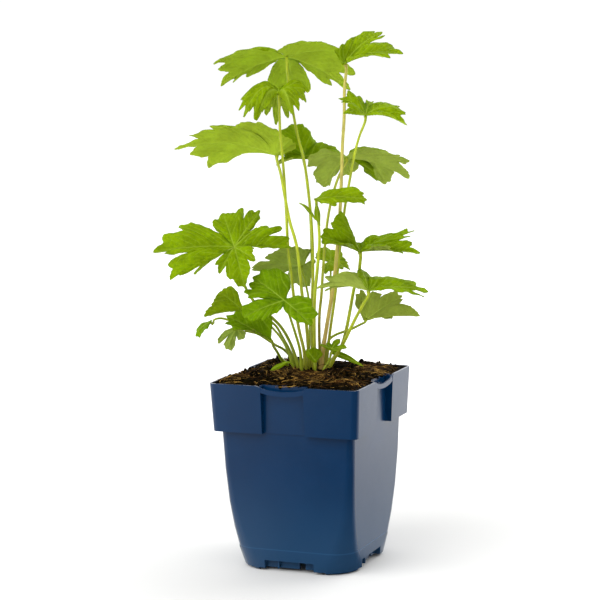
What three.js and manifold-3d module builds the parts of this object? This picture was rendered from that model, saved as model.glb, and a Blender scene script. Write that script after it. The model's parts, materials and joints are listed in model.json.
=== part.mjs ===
// A young delphinium in a square moulded nursery pot.
// Millimetres, +Z up. The origin is on the floor under the pot's middle, the pot's sides face X and Y.
import * as THREE from 'three';
import { mergeVertices } from 'three/addons/utils/BufferGeometryUtils.js';
import Module from 'manifold-3d';

const wasm = await Module();
wasm.setup();

// Pot: half widths across the flats, heights above the floor
const RIM_HEIGHT = 144.2;
const RIM_HALF = 60;
const COLLAR_FOOT = 107.6;
const COLLAR_FOOT_HALF = 58.2;
const COLLAR_CORNER = 5;
const BODY_TOP_HALF = 53.5;
const BODY_SLOPE = 3.9;
const BODY_CURL = 3;
const BODY_CURL_POWER = 2.4;
const BODY_LEVELS = [0, 1.5, 5, 15.4, 16.4, 32, 52, 78];
const TOP_CORNER = 5.2;
const FOOT_CORNER_GAIN = 21.8;
const CORNER_POWER = 3.4;
const CORNER_STEPS = 5;
const WALL = 1.6;
const FOOT_BEVEL = 1.4;
const FOOT_WALL = 2.4;
const MIN_CORNER = 0.4;
const LEDGE_STEP = 0.1;
const BAND_HEIGHT = 16;
const BAND_PROUD = 0.35;
const BASE_PLATE_LOW = 8.4;
const BASE_PLATE_TOP = 10.2;
const BASE_PAD_RADIUS = 15;
const BASE_PAD_SIDES = 24;
const QUARTER_TURNS = [0, 1, 2, 3];

// Pot: the label pocket in each collar side. Its panel stands back between the collar's blocks, and a
// strap bridges them in front of it, under an arc cut into the rim
const PANEL_HALF = 17.2;
const PANEL_FACE = 54.1;
const POCKET_ARC_HALF = 20.5;
const POCKET_ARC_DIP = 3.8;
const POCKET_ARC_DEPTH = 3;
const POCKET_ARC_FULLNESS = 0.6;
const ARC_SEGMENTS = 8;
const BRIDGE_HEIGHT = 3.6;
const BRIDGE_FACE = 59.65;
const BRIDGE_WALL = 1.3;

// Pot: the drain notch in each foot side, with a ribbed skirt behind it that has a gap
const NOTCH_LEFT = -21.7;
const NOTCH_RIGHT = 18.2;
const NOTCH_HEIGHT = 8.3;
const SKIRT_FACE = 42.8;
const SKIRT_WALL = 1.4;
const SKIRT_FOOT = 2.2;
const SKIRT_END_FACE = 46.4;
const SKIRT_GAP = [5, 9.8];
const SKIRT_RIB = [-11.6, -10.4];
const SKIRT_RIB_FACE = 46;
const SIDE_LIFT = 2;
const SIDE_LIFT_HALF = 27;
const REACH = 20;

// Soil: it fills the pot level with the rim at the sides and stands higher in the middle.
// Its bumps are sine waves, each [height, turns per mm along x, along y, phase].
const CLEARANCE = 0.3;
const SOIL_EDGE = 144.5;
const SOIL_DOME = 4.5;
const SOIL_RINGS = 6;
const SOIL_WAVES = [[0.5, 0.21, 0.17, 0.7], [0.5, 0.21, -0.17, 1.9], [0.6, 0.13, 0.26, 0]];

// Rootstock: a woody crown under the stems, with thick roots that hang in the soil
const CROWN_CENTRE = [-1, 3];
const CROWN_RADII = [25, 20];
const CROWN_TOP = 136;
const CROWN_LEVELS = [[0, 0.9], [3, 1], [9, 0.94], [17, 0.62], [23, 0.2]];
const CROWN_SIDES = 18;
const CROWN_LUMP = 0.05;
const ROOT_COUNT = 7;
const ROOT_STEPS = 5;
const ROOT_INSET = 8;
const ROOT_RADIUS = 2.6;
const ROOT_TIP_RADIUS = 1;
const ROOT_LENGTH = 68;
const ROOT_SPREAD = 26;

// Plant: it is turned on the pot, so that x runs across the view and y away from it
const PLANT_TURN = THREE.MathUtils.degToRad(22.36);
const EYE = { x: -7.8, distance: 1520, height: 406.9 };
const STEM_SIDES = 6;
const STEM_STEP = 19;
const STEM_MIN_STEPS = 6;
const STEM_UPRIGHT = [-4, 1];
const NECK = 2.5;
const HOLE_CLEARANCE = 0.5;
const HOLE_TOP = 166;
const HOLE_DEEPER = 1.2;
const BLADE = 0.7;
const REAR_RADIUS = 2.6;
const STRAP_STEPS = 10;
const STRAP_SIDES = 6;
const STRAP_FOOT_HALF = 0.7;
const STRAP_TIP_HALF = 0.6;
const STRAP_DEPTH = 0.52;
const DEEP_BAY = 0.72;
const DEEP_POWER = 1.8;
const TOOTH_POWER = 1.6;
const SHALLOW_BAY = 0.92;
const BAY_STOPS = [0, 0.27, 0.5, 0.73];
const EDGE_STOPS = [0, 0.5];
const SMOOTH_BAY = 0.965;
const SMOOTH_STOPS = [0];

// Colours: blades by age, stems from yellow green to pinkish
const YOUNG = 0x86ab12;
const FRESH = 0x6f9a10;
const SHADED = 0x567f0c;
const OLIVE = 0x71860f;
const STEM_YELLOW = 0xb4c12a;
const STEM_GREEN = 0x8fa32a;
const STEM_PINK = 0xbfa55e;
const STEM_RED = 0x94641f;
const POT_BLUE = 0x1f3f70;
const SOIL_BROWN = 0x33210f;
const ROOT_BROWN = 0x6b4a2b;

// Leaves. Each place is read as [x, z, y]: x and z where its line of sight meets the upright plane
// through the pot's axis, y how far behind that plane it lies (before it where y is negative).
// The hub is where the stalk meets the blade, and up is the upper side's direction there.
// The rim runs round the hub from one side of the stalk to the other in tooth tips [x, z, y, bay],
// where bay is how deep the bay after that tooth reaches: 0 at the hub, 1 for no bay.
// bow is how far the blade arches between hub and tip, as a share of that length.
// route runs down the stalk from the hub, and foot is where it leaves the soil, as true x and y.
const LEAVES = [
  {
    name: 'leaf_top_left', hub: [-14.5, 386, 0], up: [0, 0.75, 0.65], bow: 0.1, rings: 3,
    leaf: YOUNG, stalk: STEM_YELLOW, thick: [1.25, 0.95],
    rim: [
      [-41, 390.5, -16, 1], [-60, 385, -13, 0.95], [-70, 380, -8, 0.86], [-66, 375.5, 4, 0.84],
      [-65, 364, 16, 0.86], [-56, 366, 18, 0.85], [-44, 370, 22, 0.2], [-28, 361, 32, 0.85],
      [-20, 352, 40, 0.85], [-8, 349, 44, 0.85], [2, 358, 38, 0.35], [17.5, 362, 30, 0.8],
      [33, 359, 24, 0.78], [36.5, 370.5, 14, 0.86], [28, 389, 2, 0.94], [20.5, 392, -4, 0.96],
      [5, 395, -10, 0.96], [-13.5, 393, -13, 0.9], [-22.5, 390, -14, 1],
    ],
    route: [[-14, 372, -3], [-10.5, 345, 2], [-7, 325, 5], [-3, 309, 5], [-0.5, 289, 7], [2, 260, 10],
      [2.6, 227.5, 9], [1.5, 200, 8], [1, 175, 7]],
    foot: [1, 6],
  },
  {
    name: 'leaf_top_front', hub: [-21, 359, -24], up: [0, 0.2, 0.98], bow: 0.35, rings: 3,
    leaf: YOUNG, stalk: STEM_YELLOW, thick: [1.3, 0.95],
    rim: [
      [-39, 337, -42, 0.84], [-48.6, 339, -38, 0.87], [-50, 344.5, -30, 0.87], [-49.3, 352, -20, 0.9],
      [-41, 354, -8, 0.45], [-36, 343.5, -4, 0.8], [-31, 339.5, 0, 0.8], [-23.5, 332.5, 2, 0.8],
      [-14, 338, 2, 0.85], [-11.5, 341, 0, 0.45], [-6.6, 351.2, -8, 0.9], [-0.1, 358.5, -16, 0.87],
      [-0.6, 350.3, -26, 0.78], [-7.2, 343.3, -36, 0.85], [-10.6, 340, -42, 1],
    ],
    route: [[-20.7, 345, -22], [-20.4, 328, -18], [-19, 311, -9], [-17.8, 290, -2], [-17, 270, 0],
      [-16, 240, 0], [-13.8, 218.5, -1], [-12.5, 205, -2], [-9, 179.5, -3], [-5.5, 163, -4]],
    foot: [-4.5, -4],
  },
  {
    name: 'leaf_top_right', hub: [29, 380, -6], up: [-0.3, -0.6, 0.75], bow: 0.1, rings: 3,
    leaf: YOUNG, stalk: STEM_PINK, thick: [1.6, 1.1],
    rim: [
      [21, 390.5, -10, 0.9], [24.5, 391.5, -7, 0.7], [37, 398.5, 10, 0.88], [43, 401.5, 14, 0.92],
      [52, 403.5, 18, 0.88], [58, 402.5, 16, 0.84], [60, 398.5, 12, 0.5], [57, 393.5, -2, 0.97],
      [66, 391.5, -8, 0.93], [73.5, 386, -16, 0.86], [67, 386.5, -20, 0.86], [63.5, 381.5, -30, 0.7],
      [46, 384.8, -32, 0.85], [36, 382, -28, 1],
    ],
    route: [[28.5, 360, -5], [28, 340, -5], [26.5, 320, -6], [25.5, 300, -7], [24, 272, -8],
      [21, 238, -8], [19.5, 224, -8], [16.7, 205.5, -8], [13.5, 187.5, -7], [10.5, 170, -6]],
    foot: [7.5, -6],
  },
  {
    name: 'leaf_upper_right', hub: [44, 341, -19], up: [0, -0.1, 1], bow: 0.12, rings: 2,
    leaf: YOUNG, stalk: STEM_YELLOW, thick: [1.2, 0.9],
    rim: [
      [26.3, 342, -36, 0.8], [30, 347.5, -28, 0.5], [25.5, 350, -18, 0.85], [23, 353, -13, 0.82],
      [31, 358, -7, 0.9], [36, 354.5, -1, 0.45], [49, 350.5, 4, 0.45], [58.5, 348, 0, 0.85],
      [69.5, 346.5, -6, 0.84], [74.5, 340.5, -17, 0.84], [75.5, 332, -24, 0.8], [68, 335, -32, 0.55],
      [56, 340.5, -38, 1],
    ],
    route: [[39.5, 326, -17], [36.7, 317, -15], [33, 300, -11], [31, 290, -8], [28, 274.5, -4],
      [24.5, 250, -1], [21.5, 225, 0], [18.8, 203, 0], [16, 185, 0], [13.5, 168, 0]],
    foot: [11.5, -1],
  },
  {
    name: 'leaf_left_large', hub: [-23.3, 312, 0], up: [0, 0.6, 0.8], bow: 0.12, rings: 3,
    leaf: YOUNG, stalk: STEM_YELLOW, thick: [1.4, 1.05],
    rim: [
      [-8, 318, 4, 0.9], [-13, 324, -6, 0.9], [-22, 328, -12, 0.9], [-37, 335, -18, 0.9],
      [-45, 336.5, -20, 0.97], [-58, 332, -22, 0.93], [-72.5, 333.5, -22, 0.8], [-89.5, 326, -14, 0.77],
      [-101, 317, -4, 0.8], [-88.5, 312, 18, 0.88], [-75, 303, 32, 0.93], [-60, 306, 32, 0.6],
      [-44, 319, 42, 0.88], [-32, 320, 46, 0.88], [-24, 318, 40, 0.4], [-12, 313.5, 8, 1],
    ],
    route: [[-20.8, 299, -7], [-18.2, 283.5, -11], [-16, 270, -12], [-14, 260, -13], [-11, 249.5, -14],
      [-9, 240, -14], [-7.3, 220, -11], [-6, 205.5, -8], [-3, 180, -3]],
    foot: [-1.5, -0.5],
  },
  {
    name: 'leaf_middle_dark', hub: [-3, 311, 14], up: [0.1, -0.8, 0.5], bow: 0.08, rings: 2,
    leaf: FRESH, stalk: STEM_GREEN, thick: [1.3, 1],
    rim: [
      [-12, 309, 8, 0.9], [-25.5, 304, 17, 0.8], [-16, 312, 24, 0.6], [-19, 331, 27, 0.95],
      [-13.5, 335, 28, 0.95], [-4.5, 335.5, 28, 0.95], [-1, 331, 26, 0.9], [6, 320, 24, 0.97],
      [18, 317.5, 30, 0.95], [29, 311, 36, 0.85], [14, 307, 30, 1],
    ],
    route: [[-1.5, 299, 13], [0.5, 280, 13.5], [1.5, 260, 15], [1.8, 242, 16], [2, 227.5, 16],
      [2.3, 213, 15], [2, 190, 13]],
    foot: [3, 10.5],
  },
  {
    name: 'leaf_right_pale', hub: [29.3, 309, 14], up: [0, 0.7, 0.7], bow: 0.1, rings: 3,
    leaf: FRESH, stalk: STEM_RED, thick: [1.2, 0.95],
    rim: [
      [22, 313, 6, 0.98], [10, 314.5, 0, 0.97], [1, 311.5, 0, 0.97], [0, 302, 9, 0.8], [5, 296, 20, 0.97],
      [6.5, 289.5, 27, 0.97], [11.5, 285.5, 30, 0.97], [17, 288, 32, 0.97], [21, 294, 34, 0.6],
      [26.5, 294.7, 38, 0.97], [32, 295, 40, 0.97], [36.5, 299, 38, 0.5], [50, 300, 31, 0.97],
      [53, 291.5, 37, 0.97], [59, 287.5, 40, 0.97], [63, 290, 39, 0.97], [65, 296, 36, 0.75],
      [77, 291.5, 34, 0.8], [76.5, 304.5, 10, 0.9], [70, 309, 2, 0.93], [57.5, 312, -4, 0.97],
      [47, 315, -6, 0.97], [37, 313.5, -2, 1],
    ],
    route: [[24, 297, 8], [20, 286.5, 7], [16, 271.5, 6], [13.5, 257, 5], [9.8, 220, 5], [8.7, 205.5, 5],
      [7, 191, 5], [6.5, 175, 5]],
    foot: [7, 5.5],
  },
  {
    name: 'leaf_left_open', hub: [-57, 243, -15], up: [-0.05, -0.75, 0.65], bow: 0.06, rings: 3,
    leaf: FRESH, stalk: STEM_GREEN, thick: [1.3, 1],
    rim: [
      [-37, 266, 6, 0.93], [-36.5, 270.5, 9, 0.95], [-43, 270.5, 8, 0.73], [-50, 271.5, 8, 0.93],
      [-60, 268.8, 6, 0.97], [-66, 268.3, 5, 0.95], [-72, 263, 0, 0.95], [-72.5, 258, -3, 0.42],
      [-80, 256.5, -6, 0.97], [-89, 260.5, -3, 0.95], [-99, 259.5, -4, 0.8], [-110.5, 251.5, -12, 0.93],
      [-119.5, 239.5, -22, 0.9], [-110, 238.2, -24, 0.68], [-108, 229.5, -32, 0.93],
      [-107, 217.5, -42, 0.93], [-98.5, 221.3, -40, 0.74], [-89, 222, -38, 0.86], [-81, 229.5, -32, 0.4],
      [-72.5, 229, -30, 0.88], [-70, 222.7, -34, 0.71], [-62, 218, -38, 0.93], [-54, 211.5, -42, 0.97],
      [-49, 211, -42, 0.95], [-45.5, 222, -36, 0.68], [-41, 231.5, -28, 0.9], [-43, 240.5, -20, 0.6],
      [-28, 241, -14, 0.88], [-12, 240.5, -9, 0.9], [-14.5, 248.5, -7, 0.66], [-19.5, 256.5, -5, 0.85],
      [-31.5, 258.5, -3, 0.93], [-41, 257.5, -4, 1],
    ],
    route: [[-54, 228, -8], [-49.5, 213, -2], [-42, 200, 1], [-31, 190, 2], [-22.5, 181, 3],
      [-15.5, 168, 3]],
    foot: [-10, 2],
  },
  {
    name: 'leaf_front_dark', hub: [-20, 201.5, -38], up: [0, -0.8, 0.6], bow: 0.06, rings: 3,
    leaf: SHADED, stalk: STEM_GREEN, thick: [1.2, 0.9],
    rim: [
      [-16, 212, -31, 0.97], [-17, 221, -25, 0.95], [-26, 225, -22, 0.97], [-36, 225, -22, 0.93],
      [-44, 220.5, -25, 0.88], [-46.5, 214, -29, 0.86], [-50.5, 207.5, -34, 0.9], [-48, 203, -37, 0.5],
      [-45, 199.5, -40, 0.97], [-52, 196, -43, 0.97], [-53, 190, -48, 0.97], [-46, 184.7, -52, 0.88],
      [-36, 185, -52, 0.85], [-29, 190, -49, 0.4], [-16, 189, -47, 0.95], [-9.5, 183.5, -50, 0.9],
      [1, 180.5, -50, 0.93], [5.5, 189, -45, 0.9], [0.5, 200, -38, 0.97], [-9, 203.5, -36, 1],
    ],
    route: [[-17, 193, -32], [-14.5, 185, -27], [-11.5, 175, -19], [-8.5, 163, -12]],
    foot: [-7.5, -8],
  },
  {
    name: 'leaf_left_fan', hub: [-52, 194.5, 8], up: [-0.2, -0.55, 0.8], bow: 0.06, rings: 2,
    leaf: OLIVE, stalk: STEM_GREEN, thick: [1.1, 0.85],
    rim: [
      [-60, 212.7, 18, 0.96], [-65.5, 211.5, 18, 0.97], [-70, 208.5, 16, 0.93], [-76, 198, 10, 0.97],
      [-82.5, 189.3, 4, 0.93], [-73, 191.2, 2, 0.92], [-62, 192.8, 2, 1],
    ],
    route: [[-45, 191, 9], [-35, 188, 9.5], [-27, 182.5, 10], [-21.5, 173, 9.5], [-16, 162, 8]],
    foot: [-12.5, 7],
  },
  {
    name: 'leaf_low_front', hub: [-31.5, 172, -12], up: [-0.5, -0.6, 0.6], bow: 0.05, rings: 2,
    leaf: SHADED, stalk: STEM_GREEN, thick: [1.2, 0.95],
    rim: [
      [-29, 184, -9, 0.97], [-31, 192, -6, 0.95], [-45, 195, -6, 0.95], [-57, 193.7, -8, 0.93],
      [-65, 190.3, -12, 0.9], [-66.5, 183.5, -18, 0.9], [-60, 178, -22, 0.86], [-50.5, 176.5, -24, 0.88],
      [-43, 180.3, -20, 0.88], [-38, 176, -16, 1],
    ],
    route: [[-29, 167, -6], [-26, 162, 2], [-23, 156.5, 9]],
    foot: [-18.5, 14],
  },
  {
    name: 'leaf_low_hanging', hub: [-57, 180.5, 2], up: [0, 0.9, 0.2], bow: 0.08, rings: 2,
    leaf: OLIVE, stalk: STEM_GREEN, thick: [1, 0.8],
    rim: [
      [-66, 178, 0, 0.97], [-71.5, 172, -3, 0.97], [-71.5, 168.7, -4, 0.5], [-67, 168.3, -4, 0.97],
      [-65, 164.3, -4, 0.97], [-61.5, 162.3, -4, 0.97], [-59, 167, -3, 0.5], [-55, 171.5, 0, 0.97],
      [-50.3, 172.5, 2, 0.97], [-49.5, 177, 3, 1],
    ],
    route: [[-50, 184, 3], [-40, 185, 4], [-33, 183.5, 4.5], [-27, 178, 4], [-20, 167.5, 3]],
    foot: [-14, 2],
  },
  {
    name: 'leaf_low_curled', hub: [-76.5, 186, -8], up: [-0.6, -0.3, 0.6], bow: 0.12, rings: 2,
    leaf: SHADED, stalk: STEM_GREEN, thick: [1.1, 0.8],
    rim: [
      [-83, 184, -4, 0.95], [-86.5, 178, -8, 0.95], [-88.3, 174.5, -12, 0.93], [-83.5, 172.5, -16, 0.93],
      [-79.3, 179, -18, 1],
    ],
    route: [[-74, 187.3, -7], [-68.5, 188.7, -5], [-61, 186.5, -3], [-50, 181.5, -2], [-41.5, 177, 0],
      [-34, 172, 6], [-27.5, 167.5, 10], [-20, 163, 15]],
    foot: [-12.5, 18],
  },
  {
    name: 'leaf_behind_left', hub: [-6, 228, 20], up: [0, 0.55, 0.8], bow: 0.08, rings: 2,
    leaf: OLIVE, stalk: STEM_GREEN, thick: [1.1, 0.8],
    rim: [
      [1, 240.5, 10, 0.9], [-10, 240.5, 6, 0.95], [-22, 240.5, 6, 0.95], [-31, 236.5, 8, 0.95],
      [-34, 232.8, 10, 0.7], [-45, 227, 14, 0.95], [-44, 223.5, 18, 0.9], [-30, 221, 26, 0.6],
      [-13, 213, 36, 0.95], [-7, 210.5, 38, 0.95], [0.5, 211, 36, 0.93], [1.5, 222, 30, 0.9],
      [5, 231, 22, 1],
    ],
    route: [[-4, 217, 19], [-1.5, 205, 18], [-0.5, 190, 17], [-1, 170, 16]],
    foot: [-3, 13.5],
  },
  {
    name: 'leaf_right_wing', hub: [38.3, 238, -6], up: [-0.2, -0.3, 0.93], bow: 0.04, rings: 3,
    leaf: FRESH, stalk: STEM_YELLOW, thick: [1.3, 1],
    rim: [
      [28, 242, -22, 0.97], [13, 242.3, -20, 0.97], [8.6, 244, -19, 0.97], [7.8, 250.5, -18, 0.97],
      [10.5, 256.3, -16, 0.82], [15.7, 260.5, -14, 0.97], [19.5, 265.5, -13, 0.97], [23.8, 270, -12, 0.97],
      [26.5, 267.5, -11, 0.97], [28.5, 257, -10, 0.93], [31.5, 247, 2, 0.97], [37, 244.2, 8, 0.97],
      [41, 243.3, 8, 0.6], [48.5, 249, 6, 0.93], [60, 249, 4, 0.93], [75.5, 254, 0, 0.92],
      [81, 252, -4, 0.8], [78.5, 247.5, -9, 0.68], [79, 243, -14, 0.88], [85, 235.5, -20, 0.72],
      [71.5, 233.5, -26, 0.8], [60, 240, -26, 0.97], [48, 240, -22, 1],
    ],
    route: [[37.3, 230, -1], [36.5, 222, 3], [34, 211.5, 4], [30.5, 194, 4.5], [27.5, 179.5, 5], [24, 167, 5],
      [18.5, 158, 5]],
    foot: [14, 5],
  },
  {
    name: 'leaf_right_long', hub: [44.5, 208, -25], up: [0, -0.05, 1], bow: 0.08, rings: 3,
    leaf: FRESH, stalk: STEM_YELLOW, thick: [1.4, 1.1],
    rim: [
      [36, 219.5, -34, 0.95], [31.5, 221.5, -36, 0.97], [20, 219.3, -36, 0.95], [11.5, 217, -34, 0.76],
      [4, 210, -28, 0.76], [10.5, 206.5, -22, 0.82], [20, 210, -14, 0.8], [33, 213, -8, 0.6],
      [38, 226, 0, 0.93], [44, 217, 3, 0.75], [64.5, 215.3, -4, 0.95], [79.5, 211.5, -12, 0.88],
      [90.5, 205.5, -20, 0.74], [87.5, 199.5, -28, 0.85], [76, 203, -32, 0.95], [57, 206.5, -36, 1],
    ],
    route: [[42, 200, -22], [38.5, 194, -19], [34.5, 187, -16], [30, 178, -13], [25.5, 169, -10],
      [20.5, 160.5, -7]],
    foot: [13.5, -5],
  },
  {
    name: 'leaf_right_low', hub: [42.3, 186, 2], up: [0.1, 0.85, 0.4], bow: 0.06, rings: 2,
    leaf: SHADED, stalk: STEM_GREEN, thick: [1.1, 0.85],
    rim: [
      [36.3, 195, -4, 0.95], [35.3, 205.7, -8, 0.9], [38, 207.3, -10, 0.79], [48.5, 206.7, -12, 0.97],
      [54.5, 205, -12, 0.73], [61, 205.5, -12, 0.97], [67, 206, -12, 0.95], [71, 203.7, -10, 0.93],
      [71, 199, -6, 0.7], [75, 195.5, -2, 0.97], [85, 187.3, 2, 0.62], [66.5, 188, 10, 0.93],
      [62.5, 183.7, 14, 0.93], [50, 185.5, 10, 1],
    ],
    route: [[38.5, 182.2, 3], [31, 178.5, 7], [25, 176.5, 9], [19, 174.3, 11], [14, 170.5, 11]],
    foot: [10.5, 11],
  },
  {
    name: 'leaf_behind_right', hub: [16, 231, 33], up: [0, -0.4, 0.9], bow: 0.08, rings: 2,
    leaf: OLIVE, stalk: STEM_GREEN, thick: [1.1, 0.8],
    rim: [
      [9, 225, 20, 0.9], [11.5, 220.5, 14, 0.9], [17, 222, 14, 0.88], [24.5, 223.3, 18, 0.8],
      [31.5, 222.5, 22, 0.88], [27, 229, 34, 0.85], [21, 238, 46, 0.97], [14, 240.5, 48, 0.97],
      [8, 240, 44, 0.95], [4, 233, 34, 1],
    ],
    route: [[15.8, 215, 30], [15.3, 200, 27], [13, 187, 24], [10, 172, 20]],
    foot: [5.5, 15.5],
  },
  {
    name: 'leaf_shoot', hub: [6, 278.5, -25], up: [0, -0.35, 0.95], bow: 0.06, rings: 2,
    leaf: YOUNG, stalk: STEM_YELLOW, thick: [1.6, 1],
    rim: [
      [12, 273.3, -38, 0.97], [20.5, 271.5, -42, 0.88], [29, 273.5, -42, 0.88], [38, 272.6, -40, 0.97],
      [43.5, 273, -37, 0.97], [45, 276.5, -33, 0.93], [42, 281.5, -28, 0.97], [37.5, 284.3, -24, 0.9],
      [31, 284.3, -20, 0.93], [24, 283, -17, 0.88], [13, 281.5, -15, 1],
    ],
    route: [[6.5, 270, -25], [7.5, 258, -24.5], [7.8, 245, -22], [6.5, 231, -19], [5.3, 220, -17],
      [4, 209.5, -15], [3, 195, -11], [2.6, 178, -7]],
    foot: [2.5, -3],
  },
  {
    name: 'leaf_base_fan', hub: [2.5, 155, -13], up: [0, -0.9, 0.4], bow: 0.05, rings: 1,
    leaf: FRESH, stalk: STEM_GREEN, thick: [0.9, 0.8],
    rim: [
      [-3.5, 157.5, -14, 0.97], [-4.2, 163.5, -12, 0.95], [2, 165, -11, 0.95], [8, 162, -12, 0.95],
      [9.5, 159.5, -14, 1],
    ],
    route: [[2.8, 151.5, -11.5]],
    foot: [3, -10.5],
  },
  {
    name: 'leaf_base_spread', hub: [15.8, 163.5, -14], up: [0, -0.5, 0.85], bow: 0.05, rings: 1,
    leaf: FRESH, stalk: STEM_GREEN, thick: [0.9, 0.75],
    rim: [
      [5.5, 166.5, -18, 0.4], [12, 167.5, -11, 0.4], [22, 170.8, -8, 0.35], [28.5, 163.3, -17, 0.4],
      [21, 161.5, -19, 1],
    ],
    route: [[15.3, 159.5, -13], [13.5, 154, -11.5]],
    foot: [9.5, -11],
  },
];

// Lance-shaped blades that need no rim: midrib places, half width at the widest, side direction
const STRAPS = [
  {
    name: 'strap_base_right', leaf: FRESH, half: 3, side: [0.1, -0.8, 0.6],
    midrib: [[15.8, 152.6, 1], [14.2, 157.5, 0], [16, 160.6, -1], [22, 158.5, -4], [30, 154.8, -7],
      [40, 149.4, -10]],
  },
  {
    name: 'strap_base_left', leaf: FRESH, half: 2.7, side: [0.1, -0.8, 0.6],
    midrib: [[-12.8, 147.9, -8], [-15, 152.5, -8.5], [-18.5, 153.8, -9], [-23, 152, -10], [-28, 149.5, -11],
      [-31.5, 147.6, -12]],
  },
  {
    name: 'bract_left', leaf: YOUNG, half: 1.8, side: [0.6, -0.6, 0.5],
    midrib: [[5, 262.5, -26.8], [2, 267, -27.5], [-2.5, 272.5, -28.5], [-7.5, 276, -29]],
  },
  {
    name: 'bract_front', leaf: YOUNG, half: 2.3, side: [1, 0, 0],
    midrib: [[8.2, 258, -26.9], [6.8, 264, -28.2], [6.2, 270, -28.4], [5.8, 276, -28.8]],
  },
];

function place([x, z, y]) {
  const k = 1 + y / EYE.distance;
  return new THREE.Vector3(EYE.x + (x - EYE.x) * k, y, EYE.height + (z - EYE.height) * k);
}

// Closed solid between rings of equal point count, which run counterclockwise about the way up it
function loft(rings) {
  const count = rings[0].length;
  const points = rings.flat();
  const low = points.push(centroid(rings[0])) - 1;
  const high = points.push(centroid(rings[rings.length - 1])) - 1;
  const last = (rings.length - 1) * count;
  const index = [];
  for (let i = 0; i < count; i += 1) {
    const j = (i + 1) % count;
    index.push(low, j, i, high, last + i, last + j);
    for (let k = 0; k < last; k += count) {
      index.push(k + i, k + j, k + count + j, k + i, k + count + j, k + count + i);
    }
  }
  return solid(points, index);
}

function centroid(points) {
  const sum = points.reduce((total, point) => total.add(point), new THREE.Vector3());
  return sum.divideScalar(points.length);
}

function solid(points, index) {
  const geometry = new THREE.BufferGeometry().setFromPoints(points);
  geometry.setIndex(index);
  return geometry;
}

function toManifold(geometry) {
  const bare = geometry.clone();
  bare.deleteAttribute('normal');
  bare.deleteAttribute('uv');
  const merged = mergeVertices(bare);
  return new wasm.Manifold(new wasm.Mesh({
    numProp: 3,
    vertProperties: new Float32Array(merged.attributes.position.array),
    triVerts: new Uint32Array(merged.index.array),
  }));
}

function fromManifold(manifold) {
  const mesh = manifold.getMesh();
  const geometry = new THREE.BufferGeometry();
  geometry.setAttribute('position', new THREE.BufferAttribute(mesh.vertProperties, 3));
  geometry.setIndex(new THREE.BufferAttribute(mesh.triVerts, 1));
  return geometry;
}

function box(x0, x1, y0, y1, z0, z1) {
  const geometry = new THREE.BoxGeometry(x1 - x0, y1 - y0, z1 - z0);
  return geometry.translate((x0 + x1) / 2, (y0 + y1) / 2, (z0 + z1) / 2);
}

function quarterTurned(geometry, turn) {
  return toManifold(geometry.clone().rotateZ(turn * Math.PI / 2));
}

function roundedSquare(half, corner, z, shrink = 0) {
  const ring = [];
  const centre = half - corner;
  const radius = Math.max(corner - shrink, MIN_CORNER);
  for (let quarter = 0; quarter < 4; quarter += 1) {
    const start = quarter * Math.PI / 2;
    const cx = centre * Math.sign(Math.cos(start + Math.PI / 4));
    const cy = centre * Math.sign(Math.sin(start + Math.PI / 4));
    for (let step = 0; step <= CORNER_STEPS; step += 1) {
      const angle = start + (step / CORNER_STEPS) * Math.PI / 2;
      const reach = half - centre - shrink - radius;
      const x = cx + Math.sign(cx) * reach + radius * Math.cos(angle);
      const y = cy + Math.sign(cy) * reach + radius * Math.sin(angle);
      ring.push(new THREE.Vector3(x, y, z));
    }
  }
  return ring;
}

// Body of the pot at height z: half width and corner radius grow and shrink towards the foot
function bodyRing(z, shrink = 0) {
  const down = Math.max(1 - z / COLLAR_FOOT, 0);
  const taper = BODY_SLOPE * down + BODY_CURL * down ** BODY_CURL_POWER;
  const bevel = FOOT_BEVEL * Math.max(1 - z / BODY_LEVELS[1], 0);
  const band = z < BAND_HEIGHT && shrink === 0 ? BAND_PROUD : 0;
  const half = BODY_TOP_HALF - taper - bevel + band;
  const corner = TOP_CORNER + FOOT_CORNER_GAIN * down ** CORNER_POWER;
  return roundedSquare(half, corner, z, shrink);
}

function collarHalf(z) {
  const rise = (z - COLLAR_FOOT) / (RIM_HEIGHT - COLLAR_FOOT);
  return COLLAR_FOOT_HALF + (RIM_HALF - COLLAR_FOOT_HALF) * rise;
}

function collarRing(z, shrink = 0) {
  return roundedSquare(collarHalf(z), COLLAR_CORNER, z, shrink);
}

// Rings up the inside of the walls as far as the ledge, shrunk further by the given clearance
function interiorRings(clearance) {
  const floor = BASE_PLATE_TOP + clearance;
  const ledge = COLLAR_FOOT + WALL + clearance;
  const levels = [floor, ...BODY_LEVELS.filter((z) => z > floor), ledge - LEDGE_STEP];
  const shrink = WALL + clearance;
  return [...levels.map((z) => bodyRing(z, shrink)), collarRing(ledge, shrink)];
}

// Pad behind the label pocket: it fills the collar from the recessed panel to the pocket's inner wall
function pocketPad(clearance, top) {
  const half = PANEL_HALF + WALL + clearance;
  const inner = PANEL_FACE - WALL - clearance;
  const rings = [COLLAR_FOOT - clearance, top].map((z) => {
    const outer = collarHalf(z) - WALL / 2;
    const corners = [[-half, -outer], [half, -outer], [half, -inner], [-half, -inner]];
    return corners.map(([x, y]) => new THREE.Vector3(x, y, z));
  });
  return loft(rings);
}

// Continues a shape along the pocket's arc, which sags below its ends
function traceArc(shape, side, level) {
  const reach = side * POCKET_ARC_FULLNESS * POCKET_ARC_HALF;
  const sag = level - POCKET_ARC_DIP * 4 / 3;
  shape.bezierCurveTo(-reach, sag, reach, sag, side * POCKET_ARC_HALF, level);
}

// Stands a shape, drawn with the rim's level as zero, on the front side and makes it that deep outward
function stoodUp(shape, back, depth) {
  const options = { depth, bevelEnabled: false, curveSegments: ARC_SEGMENTS };
  const geometry = new THREE.ExtrudeGeometry(shape, options);
  geometry.rotateX(Math.PI / 2);
  return geometry.translate(0, -back, RIM_HEIGHT);
}

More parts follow.
